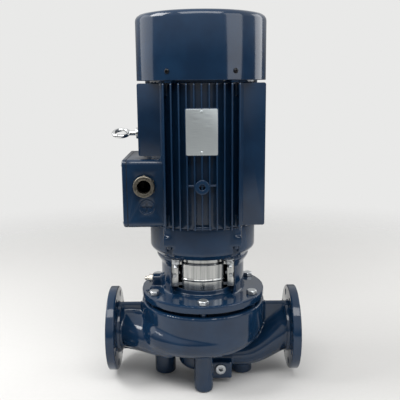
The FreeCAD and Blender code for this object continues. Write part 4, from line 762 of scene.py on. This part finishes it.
def makeFasteners():
    up, down = (0, 0, 1), (0, 0, -1)
    look = boltLook["head"]
    places = [((*onCircle(look["circle"], 360 * i / look["count"] + look["first"]), look["deck"]), up)
              for i in range(look["count"])]
    bolts = setFasteners("headBolts", hexBoltPattern("headBolt", look["thread"], look["grip"]), places,
                         zincSteel, "head_bolts", look["seed"])
    # painted shade: the head bolts' shanks in the gap under the deck get dark navy enamel, while their heads
    # stay zinc
    enamelAsPaintedShadeBelow(bolts, look["deck"] - look["bare"], castEnamel)
    look = boltLook["motor"]
    corner = look["corner"]
    places = [((*onCircle(look["circle"], angle), look["under"]), down)
              for angle in (corner, 180 - corner, 180 + corner, 360 - corner)]
    stud = studPattern("motorStud", look["thread"], look["grip"], look["washer"], look["reach"])
    setFasteners("motorBolts", stud, places, zincSteel, "motor_bolts", look["seed"])
    look = boltLook["guard"]
    places = [((sx * look["x"], sy * look["y"], look["height"]), (0, sy, 0))
              for sx in (1, -1) for sy in (1, -1)]
    setFasteners("guardScrews", hexBoltPattern("guardScrew", look["thread"], look["grip"]), places,
                 zincSteel, "guard_screws", look["seed"])
    look = boltLook["shield"]
    setFasteners("shieldBoltsBelow", capScrewPattern("shieldBolt", look["thread"], look["longGrip"]),
                 [((x, y, look["padUnder"]), down) for x, y in shieldCorners()],
                 castEnamel, "shield_bolts_drive", look["seeds"][0])
    setFasteners("shieldBoltsAbove", hexBoltPattern("fanShieldBolt", look["thread"], look["shortGrip"]),
                 [((x, y, look["fanTop"]), up) for x, y in shieldCorners()],
                 zincSteel, "shield_bolts_fan", look["seeds"][1])
    look = boltLook["cover"]
    angles = [side + way * look["angle"] for side in (-90, 90) for way in (1, -1)]
    places = [((*onCircle(2 * look["radius"], angle), look["height"]), (*onCircle(2, angle), 0))
              for angle in angles]
    dome = domeScrewPattern("coverScrew", look["thread"], look["grip"], look["dome"], look["socket"])
    setFasteners("coverScrews", dome, places, blackSteel, "cover_screws", look["seed"])
    look = boltLook["lid"]
    places = [((look["x"], y, z), (-1, 0, 0)) for y in look["y"] for z in look["z"]]
    setFasteners("lidScrews", capScrewPattern("lidScrew", look["thread"], look["grip"]), places,
                 zincSteel, "lid_screws", look["seed"])
    look = boltLook["rivet"]
    places = [((0, look["face"], look["middle"] + way * look["reach"]), (0, -1, 0)) for way in (1, -1)]
    setFasteners("plateRivets", patternOf(turned(look["outline"], "rivet", segments=32), "rivet"), places,
                 satinPlate, "plate_rivets", look["seed"])


makeFasteners()
print("fasteners set")


# Motor frame: a turned barrel with its bosses, and rows of draughted cooling fins

frameLook = {
    "bottom": 427.5, "top": 768.0, "coreRadius": 138.0, "bore": 126.0, "barrelRounds": (0.5, 1.5, 1.5, 0.5),
    "finBottom": 428.5, "finTop": 767.0, "finPitch": 17.2, "finRoot": 5.4, "finTip": 3.6, "finFoot": 60.0,
    "footWithin": 75.0, "frontFins": 11, "frontTip": 155.0, "sideFins": 12, "sideTip": 150.0,
    "rootDepth": 4.0, "finCorner": 4.5, "finEdge": 1.1, "boxTop": 598.0, "roundness": 160,
    "blocks": {    # half width, front, back, low, high and rounding of each block on the front
        "platePad": (38.0, 155.0, 130.0, 604.0, 712.0, 2.0),
        "liftWeb": (34.4, 150.0, 118.0, 532.0, 537.0, 1.5),
        "footPad": (21.0, 147.0, 123.0, 428.5, 436.0, 2.0),
    },
    "bosses": {    # axis, height, bore, radius, root, reach and the four rounds
        "liftBoss": ("-Y", 532.0, 7.0, 17.0, 128.0, 157.0, (0, 0, 1.5, 1.0)),
        "eyeBoss": ("-X", 645.0, 6.0, 17.0, 130.0, 158.0, (0, 0, 1.5, 0)),
    },
    "boltBoss": {"radius": 10.5, "length": 30.0, "rounds": (0, 1.0, 1.0, 0)},
}


# One fin reaching out along +X: round corners at its tip, thinner there than at its root.
def finMesh(name, tip, low, high):
    look = frameLook
    corner, root, steps = look["finCorner"], look["finFoot"], 4
    outline = [(root, low)]
    for start, centreZ in ((-90, low + corner), (0, high - corner)):
        for i in range(steps + 1):
            angle = math.radians(start + 90 * i / steps)
            outline.append((tip - corner + corner * math.cos(angle), centreZ + corner * math.sin(angle)))
    outline.append((root, high))
    bm = bmesh.new()
    sides = []
    for way in (-1, 1):
        ring = []
        for x, z in outline:
            share = (x - root) / (tip - root)
            half = (look["finRoot"] + (look["finTip"] - look["finRoot"]) * share) / 2
            ring.append((x, way * half, z))
        sides.append(ring)
    fillPrism(bm, sides)
    return bevelled(meshFrom(bm, name), look["finEdge"] * mm, angle=50)


# A row of fins along Y; the root of each one follows the barrel's round.
def makeFinTree():
    tree, given = startTree("coolingFinRow", {
        "Fin": ("Object", None), "Count": ("Int", 11), "Pitch": ("Float", 0.017),
        "Core Radius": ("Float", 0.138), "Root Depth": ("Float", 0.004), "Heading": ("Float", 0.0),
        "Material": ("Material", None),
    })
    gaps = addNode(tree, "ShaderNodeMath", {"operation": "SUBTRACT", 1: 1.0}, {0: given["Count"]})
    width = addNode(tree, "ShaderNodeMath", {"operation": "MULTIPLY"}, {0: gaps, 1: given["Pitch"]})
    firstY = addNode(tree, "ShaderNodeMath", {"operation": "MULTIPLY", 1: -0.5}, {0: width})
    row = addNode(tree, "GeometryNodeMeshLine", {"mode": "OFFSET"}, {
        "Count": given["Count"], "Start Location": addNode(tree, "ShaderNodeCombineXYZ", {}, {"Y": firstY}),
        "Offset": addNode(tree, "ShaderNodeCombineXYZ", {}, {"Y": given["Pitch"]}),
    })
    shape = addNode(tree, "GeometryNodeObjectInfo", {"As Instance": True}, {"Object": given["Fin"]})
    fins = addNode(tree, "GeometryNodeInstanceOnPoints", {},
                   {"Points": row, "Instance": shape.outputs["Geometry"]})
    real = addNode(tree, "GeometryNodeRealizeInstances", {}, {"Geometry": fins})
    position = addNode(tree, "GeometryNodeInputPosition")
    at = addNode(tree, "ShaderNodeSeparateXYZ", {}, {"Vector": position}).outputs
    core = given["Core Radius"]
    across = addNode(tree, "ShaderNodeMath", {"operation": "MULTIPLY"}, {0: at["Y"], 1: at["Y"]})
    whole = addNode(tree, "ShaderNodeMath", {"operation": "MULTIPLY"}, {0: core, 1: core})
    square = addNode(tree, "ShaderNodeMath", {"operation": "SUBTRACT"}, {0: whole, 1: across})
    onCore = addNode(tree, "ShaderNodeMath", {"operation": "SQRT"}, {0: square})
    rootX = addNode(tree, "ShaderNodeMath", {"operation": "SUBTRACT"}, {0: onCore, 1: given["Root Depth"]})
    isRoot = addNode(tree, "ShaderNodeMath", {"operation": "LESS_THAN", 1: frameLook["footWithin"] * mm},
                     {0: at["X"]})
    rooted = addNode(tree, "ShaderNodeCombineXYZ", {}, {"X": rootX, "Y": at["Y"], "Z": at["Z"]})
    fitted = addNode(tree, "GeometryNodeSetPosition", {},
                     {"Geometry": real, "Selection": isRoot, "Position": rooted})
    heading = addNode(tree, "ShaderNodeCombineXYZ", {}, {"Z": given["Heading"]})
    headed = addNode(tree, "GeometryNodeTransform", {}, {"Geometry": fitted, "Rotation": heading})
    endTree(tree, headed, given["Material"])
    return tree


def makeMotorFrame():
    look = frameLook
    tree = makeFinTree()
    low, high = look["finBottom"], look["finTop"]
    frontFin = patternOf(finMesh("frontFin", look["frontTip"], low, high), "frontFin")
    sideFin = patternOf(finMesh("sideFin", look["sideTip"], low, high), "sideFin")
    shortFin = patternOf(finMesh("shortFin", look["sideTip"], look["boxTop"], high), "shortFin")
    for name, fin, count, heading in (
        ("frontFins", frontFin, look["frontFins"], -90), ("rearFins", frontFin, look["frontFins"], 90),
        ("rightFins", sideFin, look["sideFins"], 0), ("leftFins", shortFin, look["sideFins"], 180),
    ):
        mesh = grown(tree, {
            "Fin": fin, "Count": count, "Pitch": look["finPitch"] * mm, "Heading": math.radians(heading),
            "Core Radius": look["coreRadius"] * mm, "Root Depth": look["rootDepth"] * mm,
            "Material": dieCastEnamel,
        })
        addPiece(name, mesh, dieCastEnamel, "stator", ())
    core, bore, bottom, top = look["coreRadius"], look["bore"], look["bottom"], look["top"]
    parts = [turned(section(bore, core, bottom, top, look["barrelRounds"]), "barrel", look["roundness"])]
    for name, (half, front, back, low, high, rounding) in look["blocks"].items():
        parts.append(boxMesh((-half * mm, -front * mm, low * mm), (half * mm, -back * mm, high * mm), name,
                             rounding * mm))
    for name, (axis, height, hole, radius, root, reach, rounds) in look["bosses"].items():
        parts.append(turned(section(hole, radius, root, reach, rounds), name, 48, axis, (0, 0, height * mm)))
    boss = look["boltBoss"]
    for x, y in shieldCorners():
        for low, high in ((bottom, bottom + boss["length"]), (top - boss["length"], top)):
            outline = section(0, boss["radius"], low, high, boss["rounds"])
            parts.append(turned(outline, "boss", 32, "Z", (x * mm, y * mm, 0)))
    addPiece("frameBarrel", joined(parts, "frameBarrel"), dieCastEnamel, "stator", ["motor_frame"])


makeMotorFrame()
print("motor frame made")


# Fan cover: spun shell, round shoulder, ring grille in its top

coverLook = {
    "radius": 158.5, "bottom": 773.0, "top": 925.5, "sheet": 2.5, "shoulder": 14.0, "lip": 1.2, "edge": 0.6,
    "roundness": 192, "grilleRadius": 107.0, "hubRadius": 34.0, "hubRounds": (0, 0.4, 0.8, 0), "rings": 4,
    "ringPitch": 16.0, "slot": 9.0, "spokes": 6, "spokeWidth": 9.0, "spokeRound": 0.4, "inset": 0.2,
    "joint": 1.0,
}


# Flat rings at a pitch, crossed by radial spokes.
def makeGrilleTree():
    tree, given = startTree("ringGrille", {
        "Rings": ("Int", 4), "First Radius": ("Float", 0.0465), "Ring Pitch": ("Float", 0.016),
        "Bar": ("Object", None), "Spoke": ("Object", None), "Spokes": ("Int", 6),
        "Material": ("Material", None),
    })
    index = addNode(tree, "GeometryNodeInputIndex")
    onSpot = {"mode": "OFFSET", "Offset": (0, 0, 0)}
    line = addNode(tree, "GeometryNodeMeshLine", onSpot, {"Count": given["Rings"]})
    circle = addNode(tree, "GeometryNodeCurvePrimitiveCircle",
                     {"mode": "RADIUS", "Resolution": 128, "Radius": 1.0})
    radius = addNode(tree, "ShaderNodeMath", {"operation": "MULTIPLY_ADD"},
                     {0: index, 1: given["Ring Pitch"], 2: given["First Radius"]})
    size = addNode(tree, "ShaderNodeCombineXYZ", {"Z": 1.0}, {"X": radius, "Y": radius})
    rings = addNode(tree, "GeometryNodeInstanceOnPoints", {},
                    {"Points": line, "Instance": circle, "Scale": size})
    curves = addNode(tree, "GeometryNodeRealizeInstances", {}, {"Geometry": rings})
    bar = addNode(tree, "GeometryNodeObjectInfo", {}, {"Object": given["Bar"]})
    profile = addNode(tree, "GeometryNodeMeshToCurve", {}, {"Mesh": bar.outputs["Geometry"]})
    swept = addNode(tree, "GeometryNodeCurveToMesh", {}, {"Curve": curves, "Profile Curve": profile})
    hub = addNode(tree, "GeometryNodeMeshLine", onSpot, {"Count": given["Spokes"]})
    share = addNode(tree, "ShaderNodeMath", {"operation": "DIVIDE", 0: tau}, {1: given["Spokes"]})
    angle = addNode(tree, "ShaderNodeMath", {"operation": "MULTIPLY"}, {0: index, 1: share})
    spin = addNode(tree, "ShaderNodeCombineXYZ", {}, {"Z": angle})
    spoke = addNode(tree, "GeometryNodeObjectInfo", {"As Instance": True}, {"Object": given["Spoke"]})
    spokes = addNode(tree, "GeometryNodeInstanceOnPoints", {},
                     {"Points": hub, "Instance": spoke.outputs["Geometry"], "Rotation": spin})
    both = addNode(tree, "GeometryNodeJoinGeometry", {}, {0: swept})
    tree.links.new(spokes.outputs[0], both.inputs[0])
    endTree(tree, both, given["Material"])
    return tree


def makeFanCover():
    look = coverLook
    outer, bottom, top, sheet = look["radius"], look["bottom"], look["top"], look["sheet"]
    under, opening, hubEdge = top - sheet, look["grilleRadius"], look["hubRadius"]
    shell = turned([
        (opening, under, 0), (outer - sheet, under, look["shoulder"] - sheet),
        (outer - sheet, bottom, look["edge"]), (outer, bottom, look["lip"]), (outer, top, look["shoulder"]),
        (opening, top, look["edge"]),
    ], "shell", look["roundness"])
    hub = turned(section(0, hubEdge, under, top, look["hubRounds"]), "hub", segments=96)
    barWidth, inset = look["ringPitch"] - look["slot"], look["inset"]
    bar = bpy.data.meshes.new("bar")
    half, thick = barWidth / 2 * mm, (sheet - inset) / 2 * mm
    bar.from_pydata([(-half, -thick, 0), (half, -thick, 0), (half, thick, 0), (-half, thick, 0)],
                    [(0, 1), (1, 2), (2, 3), (3, 0)], [])
    spokeHalf = look["spokeWidth"] / 2 * mm
    spoke = boxMesh(((hubEdge - look["joint"]) * mm, -spokeHalf, (under + inset) * mm),
                    ((opening + look["joint"]) * mm, spokeHalf, (top - inset) * mm), "spoke",
                    look["spokeRound"] * mm)
    barPattern, spokePattern = patternOf(bar, "bar"), patternOf(spoke, "spoke")
    grille = grown(makeGrilleTree(), {
        "Rings": look["rings"], "First Radius": (hubEdge + look["slot"] + barWidth / 2) * mm,
        "Ring Pitch": look["ringPitch"] * mm, "Bar": barPattern, "Spoke": spokePattern,
        "Spokes": look["spokes"], "Material": sheetEnamel,
    })
    for vertex in grille.vertices:    # the rings lie on the floor still, the spokes don't
        if vertex.co.z < 0.5 * top * mm:
            vertex.co.z += (top - sheet / 2) * mm
    addPiece("fanCover", joined([shell, hub, grille], "fanCover"), sheetEnamel, "stator", ["fan_cover"])


makeFanCover()
print("fan cover made")


# Pieces that keep their solid's shape and get broken edges

edgeLook = {
    "terminal_box": ("terminalBox", 1.6, dieCastEnamel, "blue_enamel"),
    "terminal_lid": ("terminalLid", 0.8, dieCastEnamel, "blue_enamel"),
    "fan_end_shield": ("fanEndShield", 0.8, castEnamel, "blue_enamel"),
    "drain_plug": ("drainPlug", 0.5, zincSteel, "zinc_steel"),
    "vent_body": ("ventBody", 0.5, nickelBrass, "nickel_brass"),
    "cable_gland": ("cableGland", 0.6, glandMetal, "gunmetal"),
    "blanking_plug": ("blankingPlug", 0.5, dieCastEnamel, "blue_enamel"),
    "name_plate": ("namePlate", 0.25, satinPlate, "plate"),
}


def makeEdgedPieces():
    for node, (name, width, material, slot) in edgeLook.items():
        addPiece(name, edgeRounded(node, width * mm), material, "stator", [node])


makeEdgedPieces()
print("edged pieces made")


# Lifting eye, forged: the ring runs into its shank with a fillet

eyeLook = {"voxel": 0.9 * mm, "softening": 6}


def makeEyeBolt():
    eye = castSkin(meshFrom(copyOfNode("eye_bolt"), "eyeRough"), eyeLook["voxel"], eyeLook["softening"])
    addPiece("eyeBolt", eye, brightSteel, "stator", ["eye_bolt"])


makeEyeBolt()
print("eye bolt made")


# Coupling guards: sheet bent to a curve with two rolled beads, an open channel and a flat ear at each side

guardLook = {
    "bottom": 256.5, "height": 84.0, "radius": 80.0, "halfAngle": 41.0, "sheet": 1.2, "arcSteps": 44,
    "earUp": 4.0, "earHeight": 62.0, "earY": 60.0, "earX": 77.7, "channelX": 61.0, "channelY": 50.0,
    "bend": 2.2, "seam": 0.3, "bead": 2.2, "beadWidth": 3.4, "beadHeights": (0.292, 0.79), "bridge": 7.0,
    "shellRows": 90, "stripRows": 6,
}


# A sheet from a row of (point, way out, bead share) columns between two heights, thickened behind.
def sheetFrom(columns, low, high, rows):
    look = guardLook
    bm = bmesh.new()
    grid = []
    for point, out, beaded in columns:
        line = []
        for k in range(rows + 1):
            z = low + (high - low) * k / rows
            swell = 0.0
            for share in look["beadHeights"]:
                away = abs(z - look["bottom"] - share * look["height"]) / look["beadWidth"]
                if away < 1:
                    swell += look["bead"] * beaded * 0.5 * (1 + math.cos(math.pi * away))
            shifted = point + out * swell
            line.append(bm.verts.new((shifted.x * mm, shifted.y * mm, z * mm)))
        grid.append(line)
    for near, far in zip(grid, grid[1:]):
        for k in range(rows):
            bm.faces.new((near[k], far[k], far[k + 1], near[k + 1]))
    return withModifiers(stored(bm, "sheet"), [
        ("SOLIDIFY", {"thickness": look["sheet"] * mm, "offset": -1.0, "use_even_offset": True}),
    ])


def makeGuard(name, node, facing):
    look = guardLook
    half = math.radians(look["halfAngle"])
    arc = []
    for i in range(look["arcSteps"] + 1):
        angle = -math.pi / 2 - half + 2 * half * i / look["arcSteps"]
        out = Vector((math.cos(angle), math.sin(angle)))
        arc.append((out * look["radius"], out, 1.0))
    end = arc[0][0] + Vector((look["seam"], look["seam"]))
    earLow = look["bottom"] + look["earUp"]
    earHigh = earLow + look["earHeight"]
    foldFront = Vector((-look["channelX"], -look["earY"]))
    foldBack = Vector((-look["channelX"], -look["channelY"]))
    innerBack = Vector((end.x, -look["channelY"]))
    earOuter = Vector((-look["earX"], -look["earY"]))
    ear = [earOuter] + arcCorner(earOuter, foldFront, foldBack, look["bend"]) + [foldBack]
    strips = [(ear, earLow, earHigh), ((innerBack, end), earLow, earHigh),
              ((foldBack, innerBack), earLow, earLow + look["bridge"]),
              ((foldBack, innerBack), earHigh - look["bridge"], earHigh)]
    parts = [sheetFrom(arc, look["bottom"], look["bottom"] + look["height"], look["shellRows"])]
    for path, low, high in strips:
        left = [(point, Vector((0, -1)), 0.0) for point in path]
        right = [(Vector((-point.x, point.y)), out, share) for point, out, share in reversed(left)]
        parts += [sheetFrom(side, low, high, look["stripRows"]) for side in (left, right)]
    mesh = joined(parts, name)
    if facing > 0:
        mesh.transform(Matrix.Rotation(math.pi, 4, "Z"))
    addPiece(name, mesh, polishedSheet, "stator", [node])


makeGuard("frontGuard", "front_guard", -1)
makeGuard("rearGuard", "rear_guard", 1)
print("guards made")


# Studio

studio = {
    "floor": "#dedddb", "floorLight": "#e2e1df", "floorSize": 12.0, "paperMm": 12, "fadeStart": 0.75,
    "fadeEnd": 2.4,
    "world": "#e9e9e8", "worldLight": 0.4, "mirroredLow": 0.15, "domeTop": 0.38,
    "lens": 52.18, "sensor": 36.0, "camera": (-0.0044, -1.462, 0.7666), "pitch": -11.402, "yaw": 0.045,
    "roll": -0.52,
    "lamps": {    # place, aim, width, height, watts
        "leftStrip": ((-1.8, 0.55, 1.0), (0, 0, 0.5), 1.3, 1.9, 9),
        "leftSoftbox": ((-1.5, -0.2, 1.9), (0, 0, 0.3), 0.9, 0.9, 26),
        "rightSoftbox": ((1.75, -1.1, 1.2), (0, 0, 0.5), 1.1, 1.9, 13),
        "rightStrip": ((1.8, 0.9, 1.0), (0, 0, 0.5), 0.9, 1.9, 12),
        "topSoftbox": ((0.0, -1.25, 2.35), (0, 0, 0.4), 2.2, 1.0, 34),
    },
}


# The sweep fades into the background all round, so that no edge of it shows.
def makeFloor():
    bm = bmesh.new()
    bmesh.ops.create_grid(bm, x_segments=1, y_segments=1, size=studio["floorSize"])
    mesh = stored(bm, "floor")
    floor = linked("floor", mesh)
    material, tree, shader, place = newMaterial("mattPaperSweep", Roughness=0.75)
    colour = addNode(tree, "ShaderNodeMix", {"data_type": "RGBA", 6: linearFrom(studio["floor"]),
                                             7: linearFrom(studio["floorLight"])},
                     {0: noiseOn(tree, place, studio["paperMm"], detail=4.0)})
    tree.links.new(colour.outputs[2], shader.inputs["Base Color"])
    away = addNode(tree, "ShaderNodeVectorMath", {"operation": "LENGTH"}, {"Vector": place}).outputs["Value"]
    fade = addNode(tree, "ShaderNodeMapRange", {
        "interpolation_type": "SMOOTHSTEP", "From Min": studio["fadeStart"], "From Max": studio["fadeEnd"],
    }, {"Value": away})
    clear = addNode(tree, "ShaderNodeBsdfTransparent")
    blend = addNode(tree, "ShaderNodeMixShader", {}, {0: fade, 1: shader, 2: clear})
    tree.links.new(blend.outputs[0], tree.nodes["Material Output"].inputs["Surface"])
    mesh.materials.append(material)


def makeLamps():
    for name, (place, aim, width, height, watts) in studio["lamps"].items():
        data = bpy.data.lights.new(name, "AREA")
        data.shape = "RECTANGLE"
        data.size, data.size_y, data.energy = width, height, watts
        lamp = linked(name, data)
        lamp.location = place
        lamp.rotation_euler = (Vector(aim) - Vector(place)).to_track_quat("-Z", "Y").to_euler()


# Pale to the camera, darker low down for what mirrors it, and weak as a light.
def makeWorld():
    world = bpy.data.worlds.new("paleStudio")
    bpy.context.scene.world = world
    world.use_nodes = True
    tree = world.node_tree
    background = tree.nodes["Background"]
    background.inputs["Color"].default_value = linearFrom(studio["world"])
    path = addNode(tree, "ShaderNodeLightPath").outputs
    camera, glossy, through = path["Is Camera Ray"], path["Is Glossy Ray"], path["Is Transmission Ray"]
    either = addNode(tree, "ShaderNodeMath", {"operation": "MAXIMUM"}, {0: camera, 1: glossy})
    seen = addNode(tree, "ShaderNodeMath", {"operation": "MAXIMUM"}, {0: either, 1: through})
    direction = addNode(tree, "ShaderNodeTexCoord").outputs["Generated"]
    upward = addNode(tree, "ShaderNodeSeparateXYZ", {}, {"Vector": direction}).outputs["Z"]
    dome = addNode(tree, "ShaderNodeMapRange", ranges((0.0, studio["domeTop"]), (studio["mirroredLow"], 1.0)),
                   {"Value": upward})
    mirrored = addNode(tree, "ShaderNodeMath", {"operation": "MAXIMUM"}, {0: dome, 1: camera})
    strength = addNode(tree, "ShaderNodeMapRange", {"To Min": studio["worldLight"]},
                       {"Value": seen, "To Max": mirrored})
    tree.links.new(strength.outputs[0], background.inputs["Strength"])


def makeCamera():
    data = bpy.data.cameras.new("camera")
    data.lens = studio["lens"]
    data.sensor_width = studio["sensor"]
    camera = linked("camera", data)
    turn = (Matrix.Rotation(math.radians(studio["yaw"]), 4, "Z")
            @ Matrix.Rotation(math.radians(90 + studio["pitch"]), 4, "X")
            @ Matrix.Rotation(math.radians(studio["roll"]), 4, "Z"))
    camera.matrix_world = Matrix.Translation(studio["camera"]) @ turn
    bpy.context.scene.camera = camera


makeFloor()
makeWorld()
makeLamps()
makeCamera()
bpy.context.scene.view_settings.view_transform = "Standard"
print("studio set")

for item in list(bpy.data.objects):    # the patterns have done their work
    if item.type == "MESH" and item.hide_render and "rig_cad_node" not in item:
        bpy.data.objects.remove(item)
